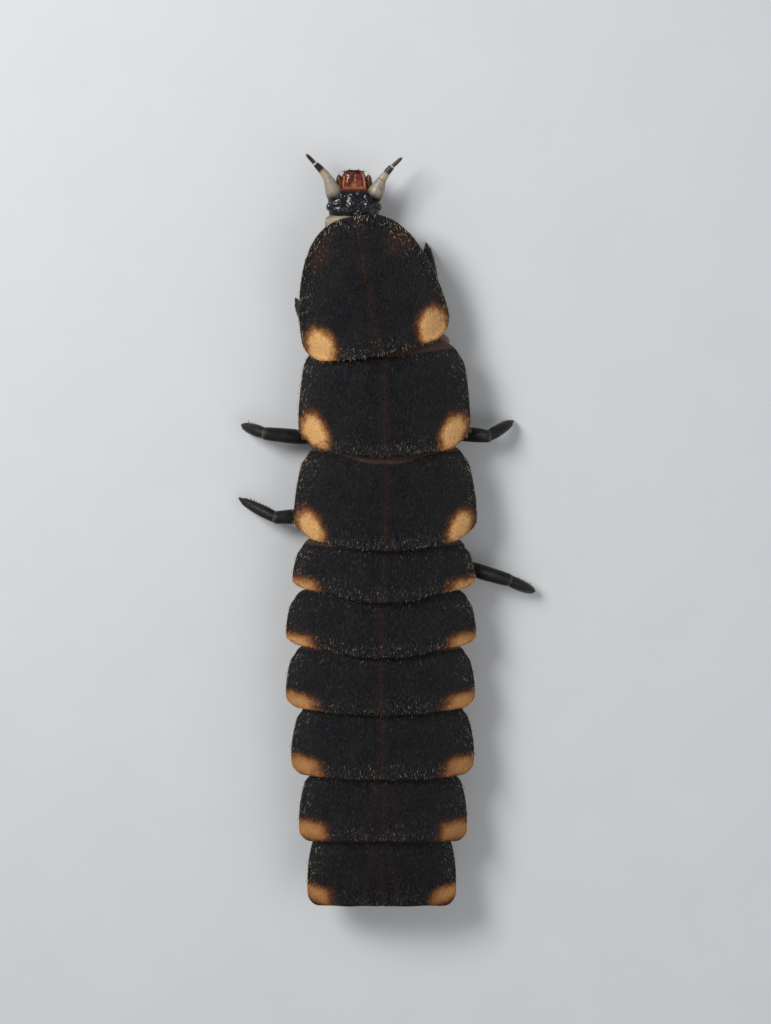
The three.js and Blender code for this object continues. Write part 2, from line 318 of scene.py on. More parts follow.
def newMaterial(name):
    material = bpy.data.materials.new(name)
    material.use_nodes = True
    kit = NodeKit(material.node_tree)
    kit.tree.nodes.clear()
    kit.material = material
    kit.shader = kit.node("ShaderNodeBsdfPrincipled")
    kit.node("ShaderNodeOutputMaterial", {0: kit.shader.outputs[0]})
    return kit


def finishMaterial(kit, colour, roughness, normal, specular=0.5, coat=0.0, coatRoughness=0.2):
    for key, value in (("Base Color", colour), ("Roughness", roughness), ("Normal", normal)):
        kit.tree.links.new(value, kit.shader.inputs[key])
    for key, value in (("Specular IOR Level", specular), ("Coat Weight", coat),
                       ("Coat Roughness", coatRoughness)):
        kit.shader.inputs[key].default_value = value
    return kit.material


plateFinish = dict(
    dark=shade(6, 6, 11), brownish=shade(17, 14, 15), median=shade(46, 31, 23), membrane=shade(70, 52, 44),
    peach=shade(216, 166, 106), orange=shade(132, 82, 40), border=shade(78, 42, 20),
    speckle=shade(158, 106, 58),
    # window colours, and the grey of the painted glints on the grains
    window=shade(44, 27, 20), windowDots=shade(152, 108, 80), grainGlint=shade(54, 51, 54), grain=12.0,
    grainDepth=0.075,
)


def spotColour(kit, where, spot, warmth, ground):
    # the pale corner patches: peach in the middle, brown and uneven at the border
    blurred = kit.noise(where, 3.2, 3.0, 0.6)
    speckled = kit.noise(where, 13.0, 3.0, 0.7)
    uneven = kit.plus(kit.swing(blurred, 0.3), kit.swing(speckled, 0.2))
    edge = kit.plus(spot, uneven)
    inner = kit.mix(warmth, plateFinish["orange"], plateFinish["peach"])
    patch = kit.mix(kit.range(edge, -0.26, -0.06), inner, plateFinish["orange"])
    patch = kit.mix(kit.range(speckled, 0.5, 0.68, 0.0, 0.6), patch, plateFinish["speckle"])
    patch = kit.mix(kit.range(edge, -0.14, 0.02), patch, plateFinish["border"])
    return kit.mix(kit.range(edge, -0.06, 0.12, 1.0, 0.0), ground, patch)


def plateMaterial():
    kit = newMaterial("back_plate_cuticle")
    look = plateFinish
    where = kit.millimetres()
    lengthways = kit.millimetres((1.8, 0.7, 1.0))
    crossways = kit.millimetres((0.7, 1.8, 1.0))
    mottle = kit.noise(where, 1.7, 5.0, 0.6)
    colour = kit.mix(kit.range(mottle, 0.42, 0.66), look["dark"], look["brownish"])
    swirl = kit.attribute("swirl")
    grain = look["grain"]
    grains = kit.blend(swirl, kit.cells(lengthways, grain), kit.cells(crossways, grain))
    pits = kit.blend(swirl, *(kit.noise(way, grain, 3.0, 0.7, 0.4) for way in (lengthways, crossways)))
    # painted glints: grey flecks on the grains, more of them near the rim, stand in for light caught by the
    # grains
    nearRim = kit.range(kit.attribute("rim"), 0.1, 1.1, 0.85, 0.5)
    grainGlint = kit.times(kit.range(pits, 0.5, 0.68), nearRim)
    colour = kit.mix(grainGlint, colour, look["grainGlint"])
    middle = kit.maths("ABSOLUTE", kit.attribute("middle"))
    dusty = kit.noise(lengthways, 4.0, 3.0)
    wide = kit.times(kit.range(middle, 0.03, 0.24, 0.6, 0.0), dusty)
    colour = kit.mix(wide, colour, look["median"])
    colour = kit.mix(kit.range(middle, 0.012, 0.04, 0.5, 0.0), colour, look["median"])
    window = kit.attribute("window")
    dots = kit.range(kit.cells(where, 5.0), 0.1, 0.3, 0.6, 0.0)
    glassy = kit.mix(dots, look["window"], look["windowDots"])
    patchy = kit.times(window, kit.range(kit.noise(where, 3.0), 0.34, 0.62, 0.35, 1.0))
    colour = kit.mix(patchy, colour, glassy)
    front = kit.plus(kit.attribute("front"), kit.times(mottle, 0.1))
    colour = kit.mix(kit.range(front, 0.98, 1.12, 0.95, 0.0), colour, look["membrane"])
    colour = spotColour(kit, where, kit.attribute("spot"), kit.attribute("warmth"), colour)
    height = kit.plus(kit.times(grains, 0.6), pits)
    height = kit.times(height, kit.range(kit.attribute("spot"), -0.2, 0.05, 0.35, 1.0))
    normal = kit.bump(height, look["grainDepth"])
    roughness = kit.range(pits, 0.3, 0.7, 0.36, 0.6)
    return finishMaterial(kit, colour, roughness, normal, specular=0.2)


# the bristles' colours; their gold near the rims is partly painted glint
bristleFinish = dict(
    dark=shade(9, 9, 13), brown=shade(84, 76, 70), gold=shade(206, 184, 144), peach=shade(216, 164, 104),
)


def bristleMaterial():
    kit = newMaterial("bristle_gold")
    look = bristleFinish
    where = kit.millimetres()
    chance = kit.attribute("chance")
    rim = kit.attribute("rim")
    # bristles are darker or paler at random; the extra paleness near the plate's rim is painted glint, light
    # caught by the bristles at the edges
    light = kit.plus(kit.times(chance, 0.8), kit.range(rim, 0.05, 0.8, 0.46, 0.0))
    light = kit.plus(light, kit.times(kit.noise(where, 1.4), 0.2))
    colour = kit.mix(kit.range(light, 0.5, 1.0), look["dark"], look["brown"])
    colour = kit.mix(kit.range(light, 0.86, 1.25), colour, look["gold"])
    patch = kit.range(kit.attribute("spot"), -0.08, 0.04, 0.8, 0.0)
    colour = kit.mix(patch, colour, look["peach"])
    fine = kit.noise(where, 60.0, 2.0)
    normal = kit.bump(fine, 0.002, 0.4)
    roughness = kit.range(fine, 0.3, 0.7, 0.3, 0.46)
    return finishMaterial(kit, colour, roughness, normal, specular=0.35)


fleshFinish = dict(
    brown=shade(104, 78, 62), dark=shade(48, 36, 32), pink=shade(176, 136, 112), sternite=shade(52, 41, 35),
    neck=shade(174, 157, 136), neckFold=shade(132, 114, 96), lamp=shade(226, 224, 176), wrinkle=7.0,
)


def fleshMaterial():
    kit = newMaterial("soft_skin")
    look = fleshFinish
    where = kit.millimetres()
    folds = kit.millimetres((0.6, 1.9, 1.0))
    mottle = kit.noise(where, 1.5, 5.0, 0.6)
    colour = kit.mix(kit.range(mottle, 0.38, 0.62), look["dark"], look["brown"])
    pink = kit.times(kit.attribute("pink"), kit.range(mottle, 0.3, 0.6, 0.5, 1.0))
    colour = kit.mix(pink, colour, look["pink"])
    plateEdge = kit.plus(kit.attribute("sternite"), kit.swing(kit.noise(where, 6.0), 0.5))
    colour = kit.mix(kit.range(plateEdge, 0.4, 0.6), colour, look["sternite"])
    neck = kit.mix(kit.range(kit.noise(folds, 2.6, 4.0), 0.36, 0.64), look["neckFold"], look["neck"])
    colour = kit.mix(kit.attribute("neck"), colour, neck)
    colour = kit.mix(kit.attribute("lamp"), colour, look["lamp"])
    pits = kit.noise(folds, look["wrinkle"], 5.0, 0.65)
    fine = kit.cells(where, 15.0)
    height = kit.plus(pits, kit.times(fine, 0.3))
    normal = kit.bump(height, 0.045, 0.8)
    roughness = kit.range(pits, 0.3, 0.7, 0.46, 0.66)
    return finishMaterial(kit, colour, roughness, normal, specular=0.4)


# The back: one section shape runs under every plate, each plate tucked under the one before
backShape = dict(
    ridge=2.41, rimShare=0.53, archPower=2.2,
    step=0.17,  # a plate starts this far below the end of the one before it
    lip=0.3,  # and this far forward under it
    thickness=0.16, lipThickness=0.08, edge=0.075,
    veinWarmth=0.28,  # plates with browner patches than this have faint lines beside the middle one
    lowest=0.09,  # no plate comes nearer to the floor
    columns=140, rows=70,
)

# spot: in from the side, up from the rear, half width, half length, squareness, turn in degrees
# corner: radius of the round corners in front and at the rear
# membrane: width of the brown skin in front, on the left and the right, and whether both sides narrow
usualRing = dict(lift=0.0, drop=0.06, membrane=(0.2, 0.2, False))
plateRings = [
    dict(name="mesonotum", length=3.06, half=2.62, x=-0.09, taper=0.11, body=1.85, lift=0.12, warmth=1.0,
         spot=(0.52, 0.64, 0.44, 0.66, 2.1, -22), corner=(0.78, 0.66), drop=0.2, flare=-0.13,
         membrane=(0.42, 0.27, False)),
    dict(name="metanotum", length=2.83, half=2.8, x=-0.06, taper=0.13, body=1.95, lift=0.08, warmth=0.92,
         spot=(0.52, 0.62, 0.42, 0.6, 2.1, -26), corner=(0.72, 0.66), drop=0.08, flare=-0.19,
         membrane=(0.54, 0.54, True)),
    dict(usualRing, name="tergite_1", length=1.57, half=2.8, x=-0.11, taper=0.1, body=2.2, warmth=0.6,
         spot=(0.34, 0.36, 0.52, 0.3, 3.0, 4), corner=(0.55, 0.32), flare=-0.27, membrane=(0.22, 0.22, True)),
    dict(usualRing, name="tergite_2", length=1.67, half=2.92, x=-0.19, taper=0.08, body=2.3, warmth=0.5,
         spot=(0.36, 0.34, 0.54, 0.3, 3.0, 4), corner=(0.6, 0.3), flare=-0.22, membrane=(0.08, 0.08, False)),
    dict(usualRing, name="tergite_3", length=1.74, half=2.91, x=-0.21, taper=0.09, body=2.3, warmth=0.4,
         spot=(0.38, 0.25, 0.58, 0.31, 3.0, 6), corner=(0.6, 0.28), flare=-0.05),
    dict(usualRing, name="tergite_4", length=1.99, half=2.83, x=-0.14, taper=0.11, body=2.22, warmth=0.3,
         spot=(0.38, 0.26, 0.57, 0.33, 3.0, 6), corner=(0.62, 0.28), flare=0.03),
    dict(usualRing, name="tergite_5", length=1.9, half=2.61, x=-0.13, taper=0.12, body=2.05, warmth=0.25,
         spot=(0.36, 0.16, 0.54, 0.34, 3.0, 0), corner=(0.62, 0.26), flare=0.26),
]
tailX = -0.17
usualTail = dict(usualRing, x=tailX, warmth=0.25)
tailRings = [
    dict(usualTail, name="tergite_6", half=2.31, taper=0.11, body=1.78, back=(-11.2, 2.02),
         belly=(-10.52, 0.72),
         spot=(0.3, 0.05, 0.48, 0.3, 3.0, 0), corner=(0.55, 0.26), flare=0.48),
    dict(usualTail, name="tergite_7", half=1.85, taper=0.06, body=1.5, back=(-11.38, 1.05),
         belly=(-10.42, 0.56),
         spot=(0.34, 0.12, 0.38, 0.22, 2.5, 0), corner=(0.3, 0.35), drop=0.2, flare=0.1),
    dict(usualTail, name="tergite_8", half=1.5, taper=0.06, body=1.2, back=(-11.32, 0.45),
         belly=(-10.46, 0.38),
         spot=(0.26, 0.08, 0.3, 0.15, 2.5, 0), corner=(0.18, 0.26), drop=0.12, flare=0.0),
    dict(usualTail, name="tergite_9", half=1.05, taper=0.08, body=0.85, back=(-11.16, 0.22),
         belly=(-10.58, 0.2),
         spot=None, corner=(0.1, 0.2), drop=0.08, flare=0.0, warmth=0.2),
]
shield = dict(
    length=4.07, half=2.22, bluntness=2.75, slope=1.5, sideStart=3.1, corner=1.65,
    rim=1.27, ridge=2.36, visor=0.33, turn=10.8, rear=(-0.235, 5.66),
    spot=(0.56, 0.5, 0.5, 0.66, 2.0, -14), rearCorner=0.56, warmth=1.0,
    windows=((-1.27, 3.2, 0.42, 0.55), (1.16, 3.05, 0.42, 0.42)),
)


def arch(share):
    return 1 - np.minimum(1, np.abs(share)) ** backShape["archPower"]


def roundCorner(a, b, side, length, radius):
    # bends the square corner at a = side, b = length into a round one
    p = np.clip((np.abs(a) - (side - radius)) / radius, 0, 1)
    q = np.clip((b - (length - radius)) / radius, 0, 1)
    roundA = np.where(p > 0, side - radius + p * np.sqrt(1 - q * q / 2) * radius, np.abs(a))
    roundB = np.where(q > 0, length - radius + q * np.sqrt(1 - p * p / 2) * radius, b)
    return np.sign(a) * roundA, roundB


def rimDistance(a, b):
    # how far each point of the grid lies from the outline, in millimetres
    outlineA = np.concatenate([a[0], a[:, -1], a[-1][::-1], a[:, 0][::-1]])
    outlineB = np.concatenate([b[0], b[:, -1], b[-1][::-1], b[:, 0][::-1]])
    least = np.full(a.shape, 99.0)
    for k in range(len(outlineA) - 1):
        ax, ay = outlineA[k], outlineB[k]
        dx, dy = outlineA[k + 1] - ax, outlineB[k + 1] - ay
        t = np.clip(((a - ax) * dx + (b - ay) * dy) / max(dx * dx + dy * dy, 1e-9), 0, 1)
        least = np.minimum(least, np.hypot(a - ax - t * dx, b - ay - t * dy))
    return least


def spotField(plate, a, b, side, length):
    # about how far outside a corner patch a point lies
    if plate["spot"] is None:
        return np.full(a.shape, 1.0)
    inset, fromRear, halfWidth, halfLength, power, turn = plate["spot"]
    across, back = np.abs(a) - (side - inset), b - (length - fromRear)
    cos, sin = math.cos(math.radians(turn)), math.sin(math.radians(turn))
    across, back = (across * cos - back * sin) / halfWidth, (across * sin + back * cos) / halfLength
    return ((np.abs(across) ** power + np.abs(back) ** power) ** (1 / power) - 1) * min(halfWidth, halfLength)


def gridNormals(points):
    down = np.gradient(points, axis=0)
    across = np.gradient(points, axis=1)
    # turned like the middle row's and summed before they get length 1,
    # because the grid folds over at the round corners
    normals = np.cross(down, across)
    normals = normals * np.sign((normals * normals[len(normals) // 2]).sum(axis=-1, keepdims=True) + 1e-30)
    for _ in range(3):
        wide = np.pad(normals, ((1, 1), (1, 1), (0, 0)), mode="edge")
        normals = wide[1:-1, 1:-1] + wide[:-2, 1:-1] + wide[2:, 1:-1] + wide[1:-1, :-2] + wide[1:-1, 2:]
    normals = unit(normals)
    return normals * np.sign(normals[..., 2:3].mean() + 1e-9), unit(down), unit(across)


def platePart(points, fields, thickness):
    # a shell under the grid of points, thin at its rim, with both faces joined along the outline
    normals, _, _ = gridNormals(points)
    rows, columns, _ = points.shape
    roundness = 1 - np.clip(fields["rim"] / backShape["edge"], 0, 1)
    half = (thickness * 0.5 * np.sqrt(1 - roundness ** 2))[..., None]
    middle = points - normals * (thickness * 0.5)[..., None]
    top, bottom = middle + normals * half, middle - normals * half
    index = np.arange(rows * columns).reshape(rows, columns)
    under = index + rows * columns
    for edge in (np.s_[0, :], np.s_[-1, :], np.s_[:, 0], np.s_[:, -1]):
        under[edge] = index[edge]
    faces = gridFaces(rows, columns)
    below = np.stack([under[:-1, :-1], under[1:, :-1], under[1:, 1:], under[:-1, 1:]], axis=-1).reshape(-1, 4)
    used = np.unique(np.concatenate([index.ravel(), under.ravel()]))
    renumber = np.zeros(rows * columns * 2, int)
    renumber[used] = np.arange(len(used))
    allPoints = np.vstack([top.reshape(-1, 3), bottom.reshape(-1, 3)])[used]
    attributes = {key: np.concatenate([field.ravel(), field.ravel()])[used] for key, field in fields.items()}
    return dict(points=allPoints, faces=faces + renumber[below].tolist(), attributes=attributes, material=0)


def sourcePart(points, fields, lean, rootUv):
    # the outer face alone, with what the bristles need to know
    _, down, across = gridNormals(points)
    rows, columns, _ = points.shape
    lie = unit(down + across * lean[..., None])
    attributes = {key: field.ravel() for key, field in fields.items()}
    attributes["lie"] = lie.reshape(-1, 3)
    attributes["rootUv"] = np.stack([*rootUv, np.zeros(points.shape[:2])], axis=-1).reshape(-1, 3)
    return dict(points=points.reshape(-1, 3), faces=gridFaces(rows, columns), attributes=attributes,
                material=0)


def ringPlate(plate, front, rear, cell):
    columns, rows = backShape["columns"], backShape["rows"]
    length = math.dist(front["back"], rear["back"])
    start = -backShape["lip"] / length
    u, s = np.meshgrid(clustered(columns, -1, 1), clustered(rows, start, 1))
    inside = np.clip(s, 0, 1)
    side = plate["half"] * (1 - plate["taper"] * (1 - inside) ** 2.5 - 0.05 * inside ** 8)
    a, b = roundCorner(u * side, s * length, side, length, plate["corner"][1])
    a, flipped = roundCorner(a, -b, side, -start * length, plate["corner"][0])
    b = -flipped
    share = a / plate["half"]
    outward = share ** 2 if plate["flare"] > 0 else smoothStep(0.1, 0.75, np.abs(share))
    b = b + plate["flare"] * outward * np.clip(s, 0, 1) ** 3
    s = b / length
    back = np.stack([lerp(front["back"][k], rear["back"][k], s) for k in (0, 1)])
    belly = np.stack([lerp(front["belly"][k], rear["belly"][k], s) for k in (0, 1)])
    depth = np.hypot(*(back - belly))
    rim = rimDistance(a, b)
    height = depth * lerp(backShape["rimShare"], 1, arch(share)) - backShape["step"] * (1 - s)
    height -= 0.03 * hump(a, 0.06)
    height -= 0.05 * hump((np.abs(share) - 0.42) / 0.16, 1) * hump((s - 0.4) / 0.3, 1)
    height -= plate["drop"] * smoothStep(0.8, 0.0, b)
    height += 0.03 * hump(length - b, 0.16) - 0.02 * hump(length - b - 0.34, 0.16)
    height += 0.016 * softNoise(a, b * 0.6, 0.9, len(plate["name"]) + int(length * 100))
    height += 0.05 * hump((1 - np.abs(share)) / 0.05, 1) * smoothStep(0.1, 0.8, s)
    spot = spotField(plate, a, b, side, length)
    height += 0.05 * smoothStep(0.0, -0.4, spot)
    points = np.stack([plate["x"] + a, *(belly + (back - belly) / depth * height)], axis=-1)
    points[..., 2] = np.maximum(points[..., 2], backShape["lowest"])
    membrane = plate["membrane"][1] + (plate["membrane"][0] - plate["membrane"][1]) * smoothStep(1.9, 0.0, a)
    if plate["membrane"][2]:
        membrane = lerp(0.25, membrane, smoothStep(1.7, 0.3, np.abs(a)))
    # faint slanting lines beside the middle one, on the last rings
    veins = np.abs(np.abs(a) - 0.12 - 0.5 * np.clip(s, 0, 1)) + 0.02
    middle = np.minimum(np.abs(a), veins) if plate["warmth"] < backShape["veinWarmth"] else a
    fields = dict(rim=rim, middle=middle, front=(b - start * length) / membrane, spot=spot,
                  warmth=np.full(a.shape, plate["warmth"]))
    thickness = lerp(backShape["thickness"], backShape["lipThickness"], smoothStep(0.3, 0.0, length - b))
    lean = np.sign(a) * (0.1 + 0.5 * np.abs(share) ** 2) + 0.35 * softNoise(a, b, 1.1, 7)
    cover = smoothStep(0.0, 0.1, b) * smoothStep(0.0, 0.05, length - b) * (0.6 + 0.4 * hump(rim, 0.4))
    reach = 0.85 + 0.35 * hump(side - np.abs(a), 0.3) - 0.3 * hump(length - b, 0.15)
    bristleFields = dict(fields, cover=cover, reach=reach)
    downUv = 0.05 + 0.9 * (b - start * length) / (length * (1 - start))
    rootUv = (0.02 + 0.96 * (u + 1) / 2, cell[0] + cell[1] * downUv)
    return platePart(points, fields, thickness), sourcePart(points, bristleFields, lean, rootUv)


def shieldOutline(behind):
    t = np.clip(behind / shield["sideStart"], 0, 1)
    rear = np.clip(behind / shield["length"], 0, 1) ** 3
    curve = (1 - (1 - t) ** shield["slope"]) ** (1 / shield["bluntness"])
    return shield["half"] * (curve + 0.01 * rear)


def shieldFrontDrop(x):
    inner = 1 - np.minimum(1, np.abs(x) / shield["half"]) ** shield["bluntness"]
    return shield["sideStart"] * (1 - inner ** (1 / shield["slope"]))


def shieldTop(x, y):
    behind = np.clip((shield["length"] - y) / shield["length"], 0, 1)
    rise = (shield["ridge"] - shield["rim"]) * (1 - (1 - shield["visor"]) * (1 - behind) ** 2.2)
    return shield["rim"] + rise * arch(x / shield["half"])


def shieldPlate(cell):
    columns, rows = 168, 110
    u, s = np.meshgrid(clustered(columns, -1, 1), clustered(rows, 0, 1))
    cornerBehind = float(shieldFrontDrop(shield["corner"]))
    x = u * shieldOutline(lerp(cornerBehind, shield["length"], s))
    y = lerp(shield["length"] - shieldFrontDrop(u * shield["corner"]), -0.06, s)
    side = shieldOutline(shield["length"] - y)
    x, down = roundCorner(x, -y, side, 0.06, shield["rearCorner"])
    y = -down
    y = y + 0.13 * (x / shield["half"]) ** 2 * smoothStep(1.5, 0.0, y)
    rim = rimDistance(x, y)
    share = x / shield["half"]
    z = shieldTop(x, y)
    z -= 0.03 * hump(x, 0.05)
    z += 0.035 * hump(rim - 0.02, 0.1) - 0.03 * hump(rim - 0.24, 0.14)
    z -= 0.08 * hump((np.abs(x) - 0.85) / 0.4, 1) * hump((y - 0.9) / 0.5, 1)
    z += 0.04 * hump((np.abs(x) - 0.5) / 0.35, 1) * hump((y - 2.4) / 0.7, 1)
    z += 0.014 * softNoise(x, y, 0.9, 31)
    spot = spotField(shield, x, -y, side, 0.06)
    z += 0.06 * smoothStep(0.0, -0.4, spot)
    window = np.zeros(x.shape)
    for wx, wy, halfX, halfY in shield["windows"]:
        window = np.maximum(window, smoothStep(1.25, 0.6, np.hypot((x - wx) / halfX, (y - wy) / halfY)))
    turning = hump(x / 0.8, 1) * smoothStep(-0.3, 0.3, softNoise(x, y, 1.6, 12) + 0.15)
    fields = dict(rim=rim, middle=x, front=np.full(x.shape, 2.0), window=window, swirl=turning,
                  spot=spot, warmth=np.full(x.shape, shield["warmth"]))
    thickness = lerp(0.15, 0.09, smoothStep(0.4, 0.0, rim))
    points = turned(np.stack([x, y, z], axis=-1), shield["turn"], (0, 0)) + np.array([*shield["rear"], 0])
    swirl = 1.1 * hump(x / 0.9, 1) * softNoise(x, y, 1.6, 12)
    lean = np.sign(x) * (0.15 + 0.3 * np.abs(share)) + 0.35 * softNoise(x, y, 1.0, 8) + swirl
    cover = (0.6 + 0.4 * hump(rim, 0.4)) * smoothStep(0.0, 0.05, y + 0.06)
    bristleFields = dict(fields, cover=cover, reach=0.85 + 0.3 * hump(rim, 0.3) * smoothStep(0.1, 0.5, y))
    rootUv = (0.02 + 0.96 * (u + 1) / 2, cell[0] + cell[1] * (0.03 + 0.94 * s))
    return platePart(points, fields, thickness), sourcePart(points, bristleFields, lean, rootUv)


# Where the rings of the body meet: a point on the back and one on the belly, as y and z
shieldRear = shield["rear"][1]
sections = [dict(back=(shieldRear, backShape["ridge"]), belly=(shieldRear, 0.0))]
for ring in plateRings:
    y = sections[-1]["back"][0] - ring["length"]
    sections.append(dict(back=(y, backShape["ridge"]), belly=(y, 0.0)))
sections += [dict(back=ring["back"], belly=ring["belly"]) for ring in tailRings]

cuticle = plateMaterial()
plateSources = dict(thorax=[], abdomen=[])
# each plate's bristles get a band of the UV map, given as its start and its width
thoraxBand, abdomenBands = 0.33, 9
plates = [("pronotum", "thorax", shieldPlate((2 * thoraxBand, thoraxBand)))]
for k, ring in enumerate(plateRings + tailRings):
    region = "thorax" if k < 2 else "abdomen"
    cell = (thoraxBand * k, 0.31) if k < 2 else ((k - 2) / abdomenBands, 0.105)
    plates.append((ring["name"], region, ringPlate(ring, sections[k], sections[k + 1], cell)))
for name, region, (shell, source) in plates:
    finishPiece("plate_" + name, [shell], [cuticle], [name])
    plateSources[region].append(source)
print("back plates made")


# Bristles, grown by Geometry Nodes over a surface
bristleInputs = ("Spacing", "Length", "Thickness", "Lift", "Jitter", "Bend")
# in the order of the inputs, the first three in millimetres
bristleSizes = dict(
    thorax=(0.05, 0.092, 0.013, 0.26, 0.2, 0.25), abdomen=(0.055, 0.09, 0.013, 0.24, 0.2, 0.25),
    legs=(0.065, 0.11, 0.012, 0.45, 0.25, 0.2), face=(0.06, 0.085, 0.009, 0.5, 0.3, 0.1),
)
gold = bristleMaterial()


def bristleTree(name):
    tree = bpy.data.node_groups.new(name, "GeometryNodeTree")
    tree.interface.new_socket("Surface", in_out="INPUT", socket_type="NodeSocketGeometry")
    for label in bristleInputs:
        tree.interface.new_socket(label, in_out="INPUT", socket_type="NodeSocketFloat")
    tree.interface.new_socket("Bristles", in_out="OUTPUT", socket_type="NodeSocketGeometry")
    given = tree.nodes.new("NodeGroupInput").outputs
    kit = NodeKit(tree)

    def named(kind, label):
        return kit.out("GeometryNodeInputNamedAttribute", {"Name": label}, data_type=kind)

    def scaled(vector, factor):
        return kit.out("ShaderNodeVectorMath", {0: vector, "Scale": factor}, operation="SCALE")

    def added(a, b):
        return kit.out("ShaderNodeVectorMath", {0: a, 1: b}, operation="ADD")

    def stored(geometry, label, kind, domain, value):
        values = {"Geometry": geometry, "Name": label, "Value": value}
        return kit.out("GeometryNodeStoreNamedAttribute", values, data_type=kind, domain=domain)

    def drawn(seed, low, high):
        values = {2: low, 3: high, "Seed": seed}
        return kit.node("FunctionNodeRandomValue", values, data_type="FLOAT").outputs[1]

    def joined(**parts):
        return kit.node("ShaderNodeCombineXYZ", {key.upper(): value for key,
                                                 value in parts.items()}).outputs[0]

    crowd = kit.maths("DIVIDE", 1.6, kit.times(given["Spacing"], given["Spacing"]))
    roots = kit.node("GeometryNodeDistributePointsOnFaces",
                     {"Mesh": given["Surface"], "Distance Min": given["Spacing"], "Density Max": crowd,
                      "Density Factor": named("FLOAT", "cover"), "Seed": 5},
                      distribute_method="POISSON").outputs
    wander = kit.node("FunctionNodeRandomValue", {0: (-1, -1, -1), 1: (1, 1, 1), "Seed": 11},
                      data_type="FLOAT_VECTOR").outputs[0]
    lie = added(named("FLOAT_VECTOR", "lie"), scaled(roots["Normal"], given["Lift"]))
    direction = added(lie, scaled(wander, given["Jitter"]))
    align = "FunctionNodeAlignRotationToVector"
    aimed = kit.node(align, {"Vector": direction}, axis="Z").outputs[0]
    aimed = kit.node(align, {"Rotation": aimed, "Vector": roots["Normal"]}, axis="X",
                     pivot_axis="Z").outputs[0]
    points = stored(roots["Points"], "chance", "FLOAT", "POINT", drawn(23, 0.0, 1.0))
    bristle = kit.node("GeometryNodeMeshCone",
                       {"Vertices": 3, "Side Segments": 2, "Radius Top": 0.0, "Depth": given["Length"],
                        "Radius Bottom": kit.times(given["Thickness"], 0.5)}, fill_type="NGON").outputs[0]
    place = kit.node("ShaderNodeSeparateXYZ", {0: kit.node("GeometryNodeInputPosition").outputs[0]}).outputs
    height = kit.maths("DIVIDE", place[2], given["Length"])
    width = kit.maths("DIVIDE", place[0], given["Thickness"])
    bristle = stored(bristle, "patch", "FLOAT_VECTOR", "POINT", joined(x=width, y=height))
    sag = kit.times(kit.times(height, height), given["Bend"])
    sideways = kit.times(kit.times(sag, given["Length"]), -1.0)
    bristle = kit.node("GeometryNodeSetPosition", {"Geometry": bristle,
                                                   "Offset": joined(x=sideways)}).outputs[0]
    scale = scaled((1.0, 1.0, 1.0), kit.times(drawn(37, 0.6, 1.25), named("FLOAT", "reach")))
    tufts = kit.node("GeometryNodeInstanceOnPoints",
                     {"Points": points, "Instance": bristle, "Rotation": aimed, "Scale": scale}).outputs[0]
    tufts = kit.node("GeometryNodeRealizeInstances", {"Geometry": tufts}).outputs[0]
    patch = scaled(named("FLOAT_VECTOR", "patch"), 0.003)
    tufts = stored(tufts, "OFBake", "FLOAT2", "CORNER", added(named("FLOAT_VECTOR", "rootUv"), patch))
    tufts = kit.node("GeometryNodeSetMaterial", {"Geometry": tufts, "Material": gold}).outputs[0]
    tree.links.new(tufts, tree.nodes.new("NodeGroupOutput").inputs[0])
    return tree


def growBristles(region, sources):
    name = "bristles_" + region
    surface = makeObject(name + "_surface", sources, [gold])
    modifier = surface.modifiers.new("bristles", "NODES")
    modifier.node_group = bristleTree(name + "_nodes")
    spacing, length, thickness, *rest = bristleSizes[region]
    sizes = dict(zip(bristleInputs, (spacing * mm, length * mm, thickness * mm, *rest)))
    for item in modifier.node_group.interface.items_tree:
        if item.in_out == "INPUT" and item.name in sizes:
            modifier[item.identifier] = sizes[item.name]
    graph = bpy.context.evaluated_depsgraph_get()
    grown = surface.evaluated_get(graph)
    mesh = bpy.data.meshes.new_from_object(grown, preserve_all_data_layers=True, depsgraph=graph)
    mesh.name = name
    place = np.empty(len(mesh.vertices) * 3, np.float32)
    mesh.vertices.foreach_get("co", place)
    place[2::3] = np.maximum(place[2::3], 0)
    mesh.vertices.foreach_set("co", place)
    for label in ("lie", "rootUv", "patch", "cover", "reach", "front", "window", "warmth", "middle"):
        if label in mesh.attributes:
            mesh.attributes.remove(mesh.attributes[label])
    bpy.data.objects.remove(surface)
    piece = bpy.data.objects.new(name, mesh)
    bpy.context.scene.collection.objects.link(piece)
    placePiece(piece)
    print(name, len(mesh.polygons), "faces")


for region, sources in plateSources.items():
    growBristles(region, sources)


# The soft skin, one closed body from the neck to the tip of the tail
# front rows: along the shield, half width, top, bottom; the shield's turn is put in afterwards
skinShape = dict(
    sides=132, squareness=0.6,
    front=[(4.05, 0.56, 1.2, 0.7), (4.0, 0.74, 1.3, 0.62), (3.88, 0.86, 1.38, 0.57), (3.62, 0.92, 1.39, 0.53),
           (3.3, 0.93, 1.36, 0.51), (3.04, 0.89, 1.3, 0.5), (2.84, 0.98, 1.34, 0.45), (2.2, 1.2, 1.5, 0.38),
           (1.2, 1.42, 1.72, 0.3), (0.4, 1.58, 1.86, 0.22)],
    cover=0.36,  # how far the skin lies under the top of the plates
    groove=0.06,
    swelling=0.34, swellingPlace=5.75,  # the bulge that shows on the right behind the shield
    collarShear=0.22,  # turns the collar the way the head faces
)


